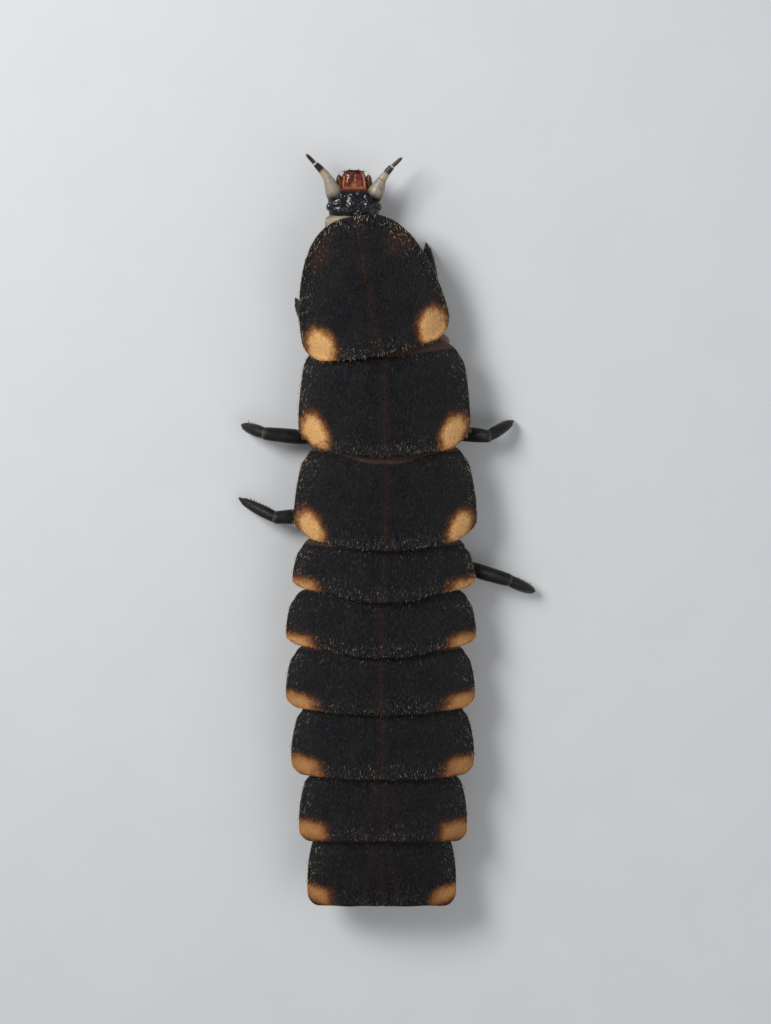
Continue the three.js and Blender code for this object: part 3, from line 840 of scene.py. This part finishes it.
def skinRows():
    # back y and z, belly y and z, middle x, half of the plate above, half width, height share of the rim
    rows = []
    for y, body, top, bottom in skinShape["front"]:
        rows.append([shieldRear + y, top, shieldRear + y, bottom, shield["rear"][0], 2.3, body, 0.6, 0.0])
    for k, ring in enumerate(plateRings):
        front, rear = sections[k], sections[k + 1]
        for t in (0.04, 0.5, 0.96):
            y = lerp(front["back"][0], rear["back"][0], t)
            body = ring["body"] * (0.93 if t != 0.5 else 1.02)
            top = backShape["ridge"] - (skinShape["cover"] + (ring["drop"] if t < 0.1 else 0))
            rows.append([y, top, y, ring["lift"], ring["x"], ring["half"], body, 0.47, 1.0])
    before = plateRings[-1]["body"]
    for k, ring in enumerate(tailRings):
        front, rear = sections[k + len(plateRings)], sections[k + len(plateRings) + 1]
        for t in ((0.06, 0.5, 0.94) if k == 0 else (0.5, 0.96)):
            back, belly = (lerp(np.array(front[key]), np.array(rear[key]), t) for key in ("back", "belly"))
            back = back + unit(belly - back) * min(skinShape["cover"] * 0.85, 0.3 * math.dist(back, belly))
            body = lerp(before, ring["body"], t) * 0.9
            rows.append([*back, *belly, tailX, ring["half"], body, 0.5, 1.0])
        before = ring["body"]
    return smoothRows(rows, 10)


def skinPart():
    rows = skinRows()
    angles = around(skinShape["sides"])
    u, w = (blunt(wave, skinShape["squareness"])[None] for wave in (np.cos(angles), np.sin(angles)))
    share = (w + 1) / 2
    bulge = 0.8 + 0.2 * np.sin(math.pi * (0.15 + 0.6 * share))
    back, belly = rows[:, 0:2], rows[:, 2:4]
    depth = np.linalg.norm(back - belly, axis=1)[:, None]
    upward = (back - belly) / depth
    x = rows[:, 6:7] * (u * bulge)
    top = depth * lerp(rows[:, 7:8], 1, arch(x / rows[:, 5:6]))
    bottom = np.minimum(0.7 * np.maximum(0, np.abs(u) - 0.55) ** 1.5, 0.4) * np.minimum(1, depth)
    height = lerp(bottom, top, share)
    # folds between the rings, plates of the belly and swellings of the sides
    place, inBody = rows[:, 2:3], rows[:, 8:9]
    ringEnds = np.array([s["belly"][0] for s in sections[:len(plateRings) + 1]])
    toEnd = np.min(np.abs(place - ringEnds[None]), axis=1)[:, None]
    fold = hump(toEnd, 0.1) * inBody
    pinch = 1 - skinShape["groove"] * fold * (0.4 + 0.6 * (1 - share))
    wave = softNoise(*(np.broadcast_to(v, height.shape) for v in (place, angles * 1.5)), 0.7, 3)
    pinch = pinch * (1 + 0.012 * wave)
    middle = depth * 0.45
    x, height = x * pinch, middle + (height - middle) * pinch
    swelling = skinShape["swelling"] * hump(place - skinShape["swellingPlace"], 0.3)
    swelling = swelling * np.maximum(u, 0) ** 2 * hump(share - 0.62, 0.3)
    x = x + swelling
    points = np.stack([rows[:, 4:5] + x, belly[:, :1] + upward[:, :1] * height,
                       belly[:, 1:] + upward[:, 1:] * height], axis=-1)
    alongShield = rows[:, 0:1] - shieldRear
    points[..., 1] -= skinShape["collarShear"] * x * smoothStep(3.0, 3.5, alongShield)
    bend = shield["turn"] * smoothStep(5.3, 6.3, rows[:, 0])
    for k in range(len(points)):
        points[k] = turned(points[k], bend[k], shield["rear"])
    under = smoothStep(0.42, 0.1, share) * smoothStep(0.95, 0.55, np.abs(u))
    sternite = under * smoothStep(0.04, 0.36, toEnd) * inBody * (place < 5.6)
    neck = smoothStep(2.75, 3.05, alongShield) * np.ones_like(x)
    sides = hump(share - 0.45, 0.22) * (np.abs(u) > 0.4) * 0.75
    pink = np.clip(sides + 0.5 * fold + 1.2 * swelling + 0.5 * smoothStep(0.3, 0.1, share), 0, 1)
    pink = pink * (1 - 0.6 * smoothStep(5.4, 5.8, rows[:, 0:1]))
    points[..., 2] = np.maximum(points[..., 2], 0.0)
    # the two light spots under the eighth ring
    toLamp = np.hypot(points[..., 1] - (sections[9]["belly"][0] + 0.02), points[..., 2] - 0.44)
    lamp = hump(toLamp, 0.13) * hump(np.abs(points[..., 0] - tailX) - 0.42, 0.14) * (share < 0.4)
    return loftPart(points, dict(sternite=sternite, neck=neck, pink=pink, lamp=lamp))


fleshNodes = ["neck", "prothorax", "mesothorax", "metathorax"] + ["abdomen_%d" % k for k in range(1, 10)]
soft = fleshMaterial()
finishPiece("body_skin", [skinPart()], [soft], fleshNodes)
print("skin made")


# The holdfast under the tail: a ring of soft fingers that grips the ground
holdfastShape = dict(middle=(-0.17, -10.86), fingers=9, spread=0.5, radius=0.075)


def holdfastParts():
    shape = holdfastShape
    cx, cy = shape["middle"]
    parts = [tubePart(smoothRows([[cx, cy + 0.1, 0.3, 0.3], [cx, cy, 0.16, 0.36], [cx, cy, 0.08, 0.3]], 4),
                      24)]
    for k in range(shape["fingers"]):
        angle = math.pi * (k / (shape["fingers"] - 1)) * 1.5 - math.pi * 0.25
        dx, dy = math.cos(angle), -math.sin(angle) * 0.55
        rows = []
        for t, z in ((0.3, 0.17), (0.7, 0.19), (1.0, 0.13), (1.18, 0.055)):
            reach = shape["spread"] * t
            rows.append([cx + dx * reach, cy + dy * reach, z, shape["radius"] * (1.05 - 0.3 * t)])
        parts.append(tubePart(smoothRows(rows, 4), 12, dict(pink=1.0, neck=0.35)))
    return aboveFloor(parts)


finishPiece("holdfast_fingers", holdfastParts(), [soft], ["pygopod"])


# Legs: coxa, trochanter, femur, shin and claw, dark olive with paler joints
legFinish = dict(dark=shade(7, 10, 8), olive=shade(20, 22, 15), joint=shade(112, 92, 72),
                 claw=shade(22, 16, 12))


def legMaterial():
    kit = newMaterial("leg_cuticle")
    look = legFinish
    where = kit.millimetres()
    mottle = kit.noise(where, 3.0, 5.0, 0.65)
    colour = kit.mix(kit.range(mottle, 0.4, 0.62), look["dark"], look["olive"])
    ragged = kit.times(kit.attribute("joint"), kit.range(kit.noise(where, 7.0), 0.25, 0.6, 0.4, 1.0))
    colour = kit.mix(ragged, colour, look["joint"])
    colour = kit.mix(kit.attribute("claw"), colour, look["claw"])
    pits = kit.noise(where, 14.0, 4.0, 0.7)
    height = kit.plus(pits, kit.times(kit.cells(where, 9.0), 0.5))
    normal = kit.bump(height, 0.022, 0.8)
    roughness = kit.range(pits, 0.3, 0.7, 0.34, 0.55)
    return finishMaterial(kit, colour, roughness, normal, specular=0.3)


# hip, end of the coxa, knee and toe
legs = dict(
    front_left=[(-1.15, 6.55, 0.62), (-1.7, 6.0, 0.5), (-2.2, 5.95, 0.72), (-2.76, 7.08, 0.08)],
    front_right=[(0.35, 7.0, 0.62), (0.85, 6.55, 0.48), (1.36, 7.5, 0.74), (1.16, 8.74, 0.08)],
    middle_left=[(-1.0, 3.6, 0.55), (-2.1, 2.87, 0.42), (-3.66, 3.08, 0.84), (-4.4, 3.25, 0.08)],
    middle_right=[(0.8, 3.8, 0.55), (1.75, 3.08, 0.42), (3.02, 3.0, 0.86), (3.8, 3.37, 0.08)],
    rear_left=[(-0.95, 0.95, 0.55), (-2.05, 0.55, 0.42), (-3.36, 0.52, 0.78), (-4.5, 1.01, 0.08)],
    rear_right=[(0.85, 0.1, 0.55), (1.95, -0.93, 0.42), (3.66, -1.38, 0.82), (4.5, -1.86, 0.08)],
)
legShape = dict(
    sides=28, spines=7, coxa=(0.38, 0.42, 0.33, 0.24), femur=(0.18, 0.22, 0.225, 0.215, 0.19),
    shin=(0.165, 0.18, 0.178, 0.168, 0.15, 0.118),
    trochanter=((-0.12, 0.2), (0.02, 0.25), (0.2, 0.22)),  # how far past the coxa's end, and radius
)


def limbRows(start, end, radii, rise=0.0, steps=5):
    rows = []
    for k, radius in enumerate(radii):
        t = k / (len(radii) - 1)
        x, y, z = lerp(np.array(start), np.array(end), t)
        rows.append([x, y, z + rise * math.sin(math.pi * t), radius])
    return smoothRows(rows, steps)


def jointTube(rows, sides, ends, flatten=1.0):
    # a limb's tube, with the attribute joint near the ends that are pale
    rings, centres = tubeRings(rows, sides, flatten)
    steps = np.linalg.norm(np.diff(centres, axis=0), axis=1)
    along = np.concatenate([[0], np.cumsum(steps)])
    joint = np.maximum(ends[0] * hump(along, 0.05), ends[1] * hump(along[-1] - along, 0.05))
    return loftPart(rippled(rings, along * 1.6, 0.018, 0.9, sides), dict(joint=joint[:, None]))


def legParts(points, seed):
    hip, coxaEnd, knee, toe = [np.array(p) for p in points]
    side = legShape["sides"]
    toFemur, toShin = unit(knee - coxaEnd), unit(toe - knee)
    ankle = lerp(knee, toe, 0.84)
    ankle[2] += 0.1
    coxa = limbRows(hip, coxaEnd + 0.1 * unit(coxaEnd - hip), legShape["coxa"])
    trochanter = smoothRows([[*(coxaEnd + toFemur * t), radius] for t, radius in legShape["trochanter"]], 5)
    femur = limbRows(coxaEnd + toFemur * 0.14, knee, legShape["femur"], 0.03)
    shin = limbRows(knee + toShin * 0.04, ankle, legShape["shin"], 0.05)
    parts = [jointTube(coxa, side, (0, 0.7)), jointTube(trochanter, side, (0.5, 0.6)),
             jointTube(femur, side, (0.3, 0.9), 1.08), jointTube(shin, side, (0.9, 0.25))]
    down = np.array([*toe[:2], 0.035])
    hook = [[*ankle, 0.09], [*(lerp(ankle, down, 0.5) + np.array([0, 0, 0.045])), 0.065],
            [*lerp(ankle, down, 0.85), 0.035], [*down, 0.012]]
    parts.append(tubePart(smoothRows(hook, 5), 12, dict(claw=1.0)))
    rng = np.random.default_rng(seed)
    across = unit(np.cross(toShin, (0, 0, 1)))
    for k in range(legShape["spines"]):
        t = 0.2 + 0.72 * k / legShape["spines"]
        row = shin[int(t * (len(shin) - 1))]
        for turn in (-1, 1):
            lean = across * turn * 0.75 + np.array([0, 0, -0.35]) + toShin * 0.9 + rng.uniform(-0.15, 0.15, 3)
            root = row[:3] + (across * turn * 0.7 + np.array([0, 0, -0.5])) * row[3] * 0.85
            tip = root + unit(lean) * rng.uniform(0.13, 0.19)
            tip[2] = max(tip[2], 0.02)
            parts.append(spikePart(root, tip, (0.017, 0.012, 0.003), 5, dict(claw=0.6)))
    return aboveFloor(parts)


def limbSource(part, cell, reach, outward):
    # the same surface again, with what the bristles need to know; cell: start of its UV patch, and its size
    points = part["points"]
    count = len(points)
    offset = points - points.mean(axis=0)
    axis = unit(np.linalg.svd(offset, full_matrices=False)[2][0])
    axis = axis * np.sign(np.dot(axis, outward) + 1e-9)
    distance = offset @ axis
    along = (distance - distance.min()) / max(np.ptp(distance), 1e-6)
    off = offset - np.outer(distance, axis)
    turn = (np.arctan2(off[:, 2], off @ unit(np.cross(axis, (0.3, 0.2, 1.0)))) / math.pi + 1) / 2
    rootUv = np.stack([cell[0] + cell[2] * turn, cell[1] + cell[2] * along, np.zeros(count)], axis=-1)
    attributes = dict(lie=np.tile(axis, (count, 1)), cover=np.ones(count), reach=np.full(count, reach),
                      rim=np.full(count, 0.6), spot=np.ones(count), rootUv=rootUv)
    return dict(points=points, faces=part["faces"], attributes=attributes, material=0)


olive = legMaterial()
limbSources = []
for number, (name, points) in enumerate(legs.items()):
    parts = legParts(points, number)
    nodes = ["leg_%s_%s" % (name, part) for part in ("coxa", "femur", "tibia")]
    finishPiece("leg_" + name, parts, [olive], nodes)
    for k in (0, 2, 3):
        outward = np.array(points[3]) - np.array(points[0])
        limbSources.append(limbSource(parts[k], (0.02 + 0.16 * number, 0.05 + 0.2 * k, 0.14), 0.75, outward))
growBristles("legs", limbSources)
print("legs made")


# The head: capsule, eyes, feelers, jaws and palps, in the head's own coordinates
headPlace = np.array([-0.99, 9.72, 0.93])
headFinish = dict(black=shade(6, 8, 16), brown=shade(17, 13, 16), front=shade(110, 52, 26), wrinkle=3.4)


def headMaterial():
    kit = newMaterial("head_shell")
    look = headFinish
    where = kit.millimetres()
    mottle = kit.noise(where, 3.0, 4.0)
    colour = kit.mix(kit.range(mottle, 0.45, 0.7), look["black"], look["brown"])
    colour = kit.mix(kit.attribute("amber"), colour, look["front"])
    crumpled = kit.noise(where, look["wrinkle"], 2.0, 0.45, 0.7)
    fine = kit.cells(where, 13.0, "SMOOTH_F1")
    ridges = kit.maths("ABSOLUTE", kit.maths("SUBTRACT", crumpled, 0.5))
    normal = kit.bump(fine, 0.012, 0.5, kit.bump(ridges, 0.11, 0.9))
    roughness = kit.range(mottle, 0.3, 0.7, 0.17, 0.3)
    return finishMaterial(kit, colour, roughness, normal, specular=0.35, coat=0.35, coatRoughness=0.08)


def segmentDistance(x, y, start, end):
    dx, dy = end[0] - start[0], end[1] - start[1]
    t = np.clip(((x - start[0]) * dx + (y - start[1]) * dy) / (dx * dx + dy * dy), 0, 1)
    return np.hypot(x - start[0] - t * dx, y - start[1] - t * dy)


def lobe(rows, sides, acrossPower=1.0, upPower=1.0):
    # a closed form from rows of along, half width, top and bottom
    angles = around(sides)
    up = blunt(np.sin(angles), upPower)[None]
    x = rows[:, 1:2] * blunt(np.cos(angles), acrossPower)[None]
    middle, half = (rows[:, 2:3] + rows[:, 3:4]) / 2, (rows[:, 2:3] - rows[:, 3:4]) / 2
    return x, np.broadcast_to(rows[:, :1], x.shape), middle + half * up, middle, up


def headPart(x, y, z, **attributes):
    return loftPart(np.stack([x, y, z], axis=-1) + headPlace, attributes)


# along, half width, top and bottom
capsuleRows = [
    (-0.72, 0.22, 0.1, -0.12), (-0.66, 0.44, 0.2, -0.22), (-0.52, 0.6, 0.28, -0.3),
    (-0.25, 0.71, 0.335, -0.35),
    (0.02, 0.75, 0.35, -0.35), (0.2, 0.765, 0.34, -0.34), (0.36, 0.765, 0.31, -0.31),
    (0.47, 0.72, 0.28, -0.28),
    (0.57, 0.62, 0.24, -0.25), (0.64, 0.52, 0.2, -0.21), (0.69, 0.42, 0.15, -0.16), (0.715, 0.26, 0.08, -0.1),
]


def capsulePart():
    x, y, z, _, up = lobe(smoothRows(capsuleRows, 12), 160, 0.78, 0.86)
    upper = smoothStep(-0.1, 0.5, up)
    # the forked seam and the hollows on each side of it
    suture = segmentDistance(x, y, (0, -0.7), (0, -0.02))
    for mirror in (-1, 1):
        suture = np.minimum(suture, segmentDistance(x, y, (0, -0.02), (0.46 * mirror, 0.5)))
    z = z - upper * 0.028 * hump(suture, 0.03)
    z = z - upper * 0.045 * hump((np.abs(x) - 0.26) / 0.13, 1) * hump((y - 0.3) / 0.2, 1)
    z = z + upper * 0.02 * hump(np.abs(x) - 0.5, 0.14) * hump(y + 0.1, 0.3)
    crumple = softNoise(x, y, 0.2, 4) * 0.6 + softNoise(x, y, 0.11, 5) * 0.4
    z = z + upper * 0.007 * crumple
    # the underside: a lengthwise throat groove
    z = z + (1 - upper) * 0.05 * hump(x, 0.1) * smoothStep(0.6, 0.2, np.abs(y))
    # a low collar behind each feeler's root
    for mirror in (-1, 1):
        z = z + upper * 0.03 * hump(np.hypot(x - 0.56 * mirror, y - 0.44) - 0.2, 0.05)
    return headPart(x, y, z, amber=smoothStep(0.6, 0.71, y) * smoothStep(0.5, 0.38, np.abs(x)))


blackShell = headMaterial()
finishPiece("head_capsule", [capsulePart()], [blackShell], ["head"])

eyeShape = dict(
    place=(0.735, 0.17, 0.07), radius=0.098, sides=32,
    socket=0.105, socketTube=0.022, socketSides=(40, 10),  # round the eye, and round the rim itself
)


def eyeMaterial():
    kit = newMaterial("eye_lens")
    where = kit.millimetres()
    cloud = kit.noise(where, 9.0, 3.0)
    colour = kit.mix(cloud, shade(6, 6, 9), shade(30, 26, 34))
    normal = kit.bump(kit.cells(where, 32.0), 0.003, 0.3)
    roughness = kit.range(cloud, 0.3, 0.7, 0.06, 0.14)
    return finishMaterial(kit, colour, roughness, normal, specular=0.7, coat=0.6, coatRoughness=0.04)


def eyeParts(mirror):
    place = np.array(eyeShape["place"]) * (mirror, 1, 1) + headPlace
    outward = unit(np.array([mirror * 0.85, 0.25, 0.45]))
    rows = []
    for degrees in range(0, 181, 9):
        angle = math.radians(degrees)
        rows.append([*(place - outward * math.cos(angle) * eyeShape["radius"] * 0.85),
                     max(eyeShape["radius"] * math.sin(angle), 0.002)])
    lens, _ = tubeRings(rows, eyeShape["sides"])
    side = unit(np.cross(outward, (0, 0, 1)))
    up = np.cross(side, outward)
    long, short = eyeShape["socketSides"]
    spokes = (np.outer(np.cos(around(long)), side) + np.outer(np.sin(around(long)), up))[:, None]
    tilt = around(short)[None, :, None]
    rim = np.cos(tilt) * spokes + np.sin(tilt) * outward
    socket = place + outward * 0.012 + eyeShape["socket"] * spokes + eyeShape["socketTube"] * rim
    index = np.arange(long * short).reshape(long, short)
    across = np.roll(index, -1, axis=1)
    quads = np.stack([index, across, np.roll(across, -1, axis=0), np.roll(index, -1, axis=0)], axis=-1)
    ring = dict(points=socket.reshape(-1, 3), faces=quads.reshape(-1, 4).tolist(), attributes={}, material=1)
    return [loftPart(lens), ring]


lensMaterial = eyeMaterial()
for mirror, side in ((-1, "left"), (1, "right")):
    finishPiece("eye_lens_" + side, eyeParts(mirror), [lensMaterial, blackShell], ["eye_" + side])

feelerFinish = dict(
    base=shade(152, 140, 124), pale=shade(170, 154, 130), band=shade(18, 17, 20), ring=shade(176, 168, 156),
    tip=shade(56, 34, 22),
)


def feelerMaterial():
    # colours follow the feeler's length, kept in the attribute zone: 0 base, 1 second part, 2 tip
    kit = newMaterial("feeler")
    look = feelerFinish
    where = kit.millimetres()
    cloud = kit.noise(where, 7.0, 4.0)
    zone = kit.maths("DIVIDE", kit.plus(kit.attribute("zone"), kit.swing(cloud, 0.06)), 3.0)
    bands = (("band", 0.0, 0.1), ("base", 0.16, 0.3), ("tip", 0.325), ("pale", 0.345, 0.49),
             ("band", 0.52, 0.62),
             ("ring", 0.635, 0.662), ("tip", 0.675, 1.0))
    colour = kit.ramp(zone, [(place, look[key]) for key, *places in bands for place in places])
    colour = kit.mix(kit.range(cloud, 0.5, 0.75, 0.0, 0.35), colour, look["tip"])
    normal = kit.bump(kit.noise(where, 16.0, 4.0), 0.02, 0.6)
    kit.shader.inputs["Subsurface Weight"].default_value = 0.25
    kit.shader.inputs["Subsurface Scale"].default_value = 0.08 * mm
    kit.shader.inputs["Subsurface Radius"].default_value = (1.0, 0.7, 0.5)
    return finishMaterial(kit, colour, kit.range(cloud, 0.3, 0.7, 0.28, 0.44), normal)


# each part's path in the head's coordinates, with radii
feelers = dict(
    left=[[(-0.5, 0.38, 0.02, 0.2), (-0.56, 0.5, 0.06, 0.245), (-0.64, 0.68, 0.1, 0.225),
           (-0.71, 0.86, 0.12, 0.175), (-0.76, 0.98, 0.13, 0.145)],
          [(-0.74, 0.95, 0.13, 0.11), (-0.79, 1.03, 0.135, 0.132), (-0.88, 1.15, 0.15, 0.118),
           (-0.99, 1.28, 0.165, 0.104), (-1.08, 1.37, 0.175, 0.092), (-1.14, 1.43, 0.18, 0.078)],
          [(-1.12, 1.41, 0.18, 0.045), (-1.17, 1.46, 0.185, 0.058), (-1.28, 1.58, 0.19, 0.058),
           (-1.37, 1.675, 0.2, 0.046)]],
    right=[[(0.53, 0.38, 0.02, 0.2), (0.6, 0.5, 0.06, 0.245), (0.69, 0.66, 0.1, 0.225),
            (0.77, 0.84, 0.12, 0.17), (0.82, 0.95, 0.13, 0.14)],
           [(0.8, 0.92, 0.13, 0.11), (0.85, 1.0, 0.135, 0.128), (0.93, 1.1, 0.15, 0.11),
            (1.0, 1.2, 0.165, 0.1), (1.08, 1.29, 0.175, 0.095), (1.13, 1.345, 0.18, 0.08)],
           [(1.11, 1.32, 0.18, 0.045), (1.16, 1.37, 0.185, 0.058), (1.28, 1.48, 0.19, 0.058),
            (1.385, 1.575, 0.2, 0.046)]],
)


def feelerParts(side):
    parts = []
    for number, rows in enumerate(feelers[side]):
        rows = np.array(rows)
        rows[:, :3] += headPlace
        rings, centres = tubeRings(smoothRows(rows, 8), 36)
        along = np.linspace(0, 1, len(centres))
        rings = rippled(rings, along * 4, 0.02, 1.2, number + 3)
        parts.append(loftPart(rings, dict(zone=(number + along * 0.99)[:, None])))
    # the small sense cone beside the last part, and bristles at the tip
    joint, tip = (np.array(feelers[side][k][-1][:3]) + headPlace for k in (1, 2))
    outward = unit(tip - joint)
    inward = unit(np.cross(outward, (0, 0, 1))) * (1 if side == "left" else -1)
    drop = np.array([0, 0, 0.05])
    cone = [[*(joint + outward * t - drop), radius] for t, radius in ((0, 0.035), (0.05, 0.03), (0.11, 0.01))]
    parts.append(tubePart(smoothRows(cone, 4), 12, dict(zone=2.01)))
    for k, (lean, length) in enumerate(((0.5, 0.06), (-0.5, 0.06), (0.0, 0.07), (0.2, 0.05))):
        aim = unit(outward + inward * lean + np.array([0, 0, 0.15 * (k - 1)]))
        rows = [[*(tip + outward * 0.01), 0.011], [*(tip + aim * length * 0.6), 0.008],
                [*(tip + aim * length), 0.003]]
        parts.append(tubePart(rows, 5, dict(zone=2.6)))
    return parts


feelerLook = feelerMaterial()
for side in ("left", "right"):
    finishPiece("feeler_" + side, feelerParts(side), [feelerLook], ["antenna_" + side])

# the jaws' colours; amber also paints the highlight on the blades
jawFinish = dict(
    red=shade(118, 40, 16), dark=shade(42, 15, 10), burnt=shade(28, 12, 8), amber=shade(214, 138, 82),
    palp=shade(84, 50, 28),
)


def jawMaterial():
    kit = newMaterial("jaw_amber")
    look = jawFinish
    where = kit.millimetres()
    cloud = kit.noise(where, 6.0, 4.0)
    colour = kit.mix(kit.range(cloud, 0.35, 0.65), look["dark"], look["red"])
    # amber: real amber marks on the lip and chin, and on the blades a painted highlight
    for key in ("amber", "burnt", "palp"):
        colour = kit.mix(kit.attribute(key), colour, look[key])
    normal = kit.bump(kit.noise(where, 10.0, 4.0), 0.02, 0.5)
    roughness = kit.range(cloud, 0.3, 0.7, 0.14, 0.32)
    return finishMaterial(kit, colour, roughness, normal, coat=0.15, coatRoughness=0.1)


def bladePart(mirror):
    # a sickle jaw: thick root, a pale amber streak on the top of its outer side that is a painted highlight,
    # a dark hooked tip
    path = [(0.27, 0.5, -0.04, 0.13), (0.3, 0.72, 0.0, 0.105), (0.29, 0.92, 0.03, 0.085),
            (0.27, 1.08, 0.05, 0.065),
            (0.2, 1.18, 0.06, 0.05), (0.06, 1.21, 0.06, 0.034), (-0.05, 1.215, 0.06, 0.016)]
    path = smoothRows(path, 7)
    path[:, 2] += 0.03 * mirror
    path[:, 0] *= mirror
    rings, centres = tubeRings(path, 26, 0.8)
    offset = (rings - centres[:, None])
    sideways = offset[..., 0] * mirror / np.maximum(np.abs(offset[..., 0]).max(axis=1, keepdims=True), 1e-6)
    # the pale streak on the blade's upper face: a painted highlight
    outer = hump(sideways - 0.1, 0.22) * (offset[..., 2] > 0)
    along = np.linspace(0, 1, len(centres))[:, None]
    amber = outer * smoothStep(0.12, 0.3, along) * smoothStep(0.7, 0.52, along)
    burnt = smoothStep(0.55, 0.75, along) * np.ones_like(outer)
    return loftPart(rings + headPlace, dict(amber=amber * 0.85, burnt=burnt))


def jawSpikes(mirror):
    # stiff dark hairs round the hooked tip
    spikes = []
    for start, end in (((0.285, 1.08, 0.07), (0.27, 1.25, 0.08)), ((0.19, 1.17, 0.08), (0.37, 1.2, 0.07)),
                       ((0.33, 0.95, 0.06), (0.39, 1.08, 0.07)), ((0.1, 1.2, 0.08), (0.14, 1.28, 0.08))):
        root, tip = (np.array(place) * (mirror, 1, 1) + headPlace for place in (start, end))
        spikes.append(spikePart(root, tip, (0.024, 0.015, 0.004), 7, dict(burnt=0.85)))
    return spikes


def labrumPart():
    # the lip over the jaws, a small domed plate with an amber root
    rows = [(0.6, 0.26, 0.1, -0.02), (0.69, 0.3, 0.15, 0.0), (0.8, 0.28, 0.175, 0.02),
            (0.96, 0.25, 0.165, 0.02),
            (1.1, 0.225, 0.13, 0.02), (1.19, 0.14, 0.08, 0.03)]
    x, y, z, middle, _ = lobe(smoothRows(rows, 8), 56, 0.8)
    z = z - 0.02 * hump(x, 0.04) * (z > middle) + 0.008 * softNoise(x, y, 0.15, 9)
    amber = hump(y - 0.71, 0.03) * 0.4 + 0.55 * hump(np.hypot(x, y - 0.8), 0.07)
    return headPart(x, y, z, amber=np.clip(amber, 0, 1))


def chinPart():
    rows = [(0.3, 0.24, -0.24, -0.34), (0.55, 0.32, -0.16, -0.34), (0.8, 0.27, -0.12, -0.27),
            (0.97, 0.15, -0.12, -0.2)]
    x, y, z, _, _ = lobe(smoothRows(rows, 7), 40)
    return headPart(x, y, z, amber=hump(np.abs(x), 0.05) * 0.4)


def palpParts(mirror):
    parts = []
    for points in ([(0.38, 0.56, -0.14, 0.11), (0.43, 0.74, -0.1, 0.12), (0.44, 0.88, -0.06, 0.1)],
                   [(0.44, 0.86, -0.06, 0.085), (0.445, 0.96, -0.03, 0.085), (0.44, 1.05, -0.01, 0.055)],
                   [(0.16, 0.86, -0.2, 0.07), (0.19, 0.98, -0.19, 0.06), (0.19, 1.07, -0.17, 0.035)]):
        rows = np.array(points)
        rows[:, 0] *= mirror
        rows[:, :3] += headPlace
        parts.append(tubePart(smoothRows(rows, 6), 20, dict(palp=0.85)))
    return parts


redShell = jawMaterial()
for mirror, side in ((-1, "left"), (1, "right")):
    finishPiece("jaw_" + side, [bladePart(mirror), *jawSpikes(mirror)], [redShell],
                ["mandible_" + side])
    finishPiece("palps_" + side, palpParts(mirror), [redShell], ["palp_" + side])
finishPiece("lip_and_chin", [labrumPart(), chinPart()], [redShell])

# the fine hairs of the palps and feelers, each part with its own patch of the UV map
faceSources = []
for number, mirror in enumerate((-1, 1)):
    outward = np.array([mirror * 0.2, 1, 0.1])
    for k, part in enumerate(palpParts(mirror)):
        faceSources.append(limbSource(part, (0.05 + 0.3 * number, 0.05 + 0.25 * k, 0.2), 1.5, outward))
for number, side in enumerate(("left", "right")):
    outward = np.array(feelers[side][2][-1][:3]) - np.array(feelers[side][0][0][:3])
    for k, part in enumerate(feelerParts(side)[:3]):
        faceSources.append(limbSource(part, (0.65 + 0.17 * number, 0.05 + 0.3 * k, 0.15), 0.5, outward))
growBristles("face", faceSources)
print("head made")


# Floor, light and camera
def floorMaterial():
    kit = newMaterial("studio_floor")
    where = kit.millimetres()
    cloud = kit.noise(where, 0.4, 3.0)
    colour = kit.mix(cloud, shade(210, 211, 212), shade(216, 217, 218))
    return finishMaterial(kit, colour, kit.range(cloud, 0.3, 0.7, 0.7, 0.8), kit.bump(cloud, 0.01, 0.2),
                          specular=0.2)


bpy.ops.mesh.primitive_plane_add(size=0.6)
floor = bpy.context.object
floor.name = "floor"
floor.data.materials.append(floorMaterial())

studio = dict(
    key=dict(place=(-48, 42, 62), power=0.06, size=34),
    fill=dict(place=(50, -20, 60), power=0.016, size=70),
    worldColour=(0.93, 0.96, 1.0, 1.0), worldStrength=0.3,
)


def addLight(name, place, power, size):
    data = bpy.data.lights.new(name, "AREA")
    data.energy = power
    data.size = size * mm
    lamp = bpy.data.objects.new(name, data)
    lamp.location = Vector(place) * mm
    lamp.rotation_euler = (-Vector(place)).to_track_quat("-Z", "Y").to_euler()
    bpy.context.scene.collection.objects.link(lamp)


addLight("key_light", **studio["key"])
addLight("fill_light", **studio["fill"])
world = bpy.data.worlds.new("studio")
world.use_nodes = True
world.node_tree.nodes["Background"].inputs[0].default_value = studio["worldColour"]
world.node_tree.nodes["Background"].inputs[1].default_value = studio["worldStrength"]
bpy.context.scene.world = world
bpy.context.scene.view_settings.view_transform = "Standard"

cameraView = dict(
    target=(-0.055, 0.82, 1.6),  # what the middle of the picture looks at
    distance=100.0, tilt=9.0,  # degrees off straight down, from the head's side
    pixelsPerMm=33.5, pictureHeight=1024, sensor=36.0,
)


def addCamera():
    tilt = math.radians(cameraView["tilt"])
    look = Vector((0, -math.sin(tilt), -math.cos(tilt)))
    up = Vector((0, math.cos(tilt), -math.sin(tilt)))
    right = look.cross(up)
    place = Vector(cameraView["target"]) - look * cameraView["distance"]
    data = bpy.data.cameras.new("photo_camera")
    focal = cameraView["pixelsPerMm"] * cameraView["distance"]
    data.sensor_width = cameraView["sensor"]
    data.lens = cameraView["sensor"] * focal / cameraView["pictureHeight"]
    data.clip_start = 0.001
    camera = bpy.data.objects.new("photo_camera", data)
    camera.matrix_world = Matrix((
        (right.x, up.x, -look.x, place.x * mm),
        (right.y, up.y, -look.y, place.y * mm),
        (right.z, up.z, -look.z, place.z * mm),
        (0, 0, 0, 1),
    ))
    bpy.context.scene.collection.objects.link(camera)
    bpy.context.scene.camera = camera


addCamera()
print("floor, light and camera set")
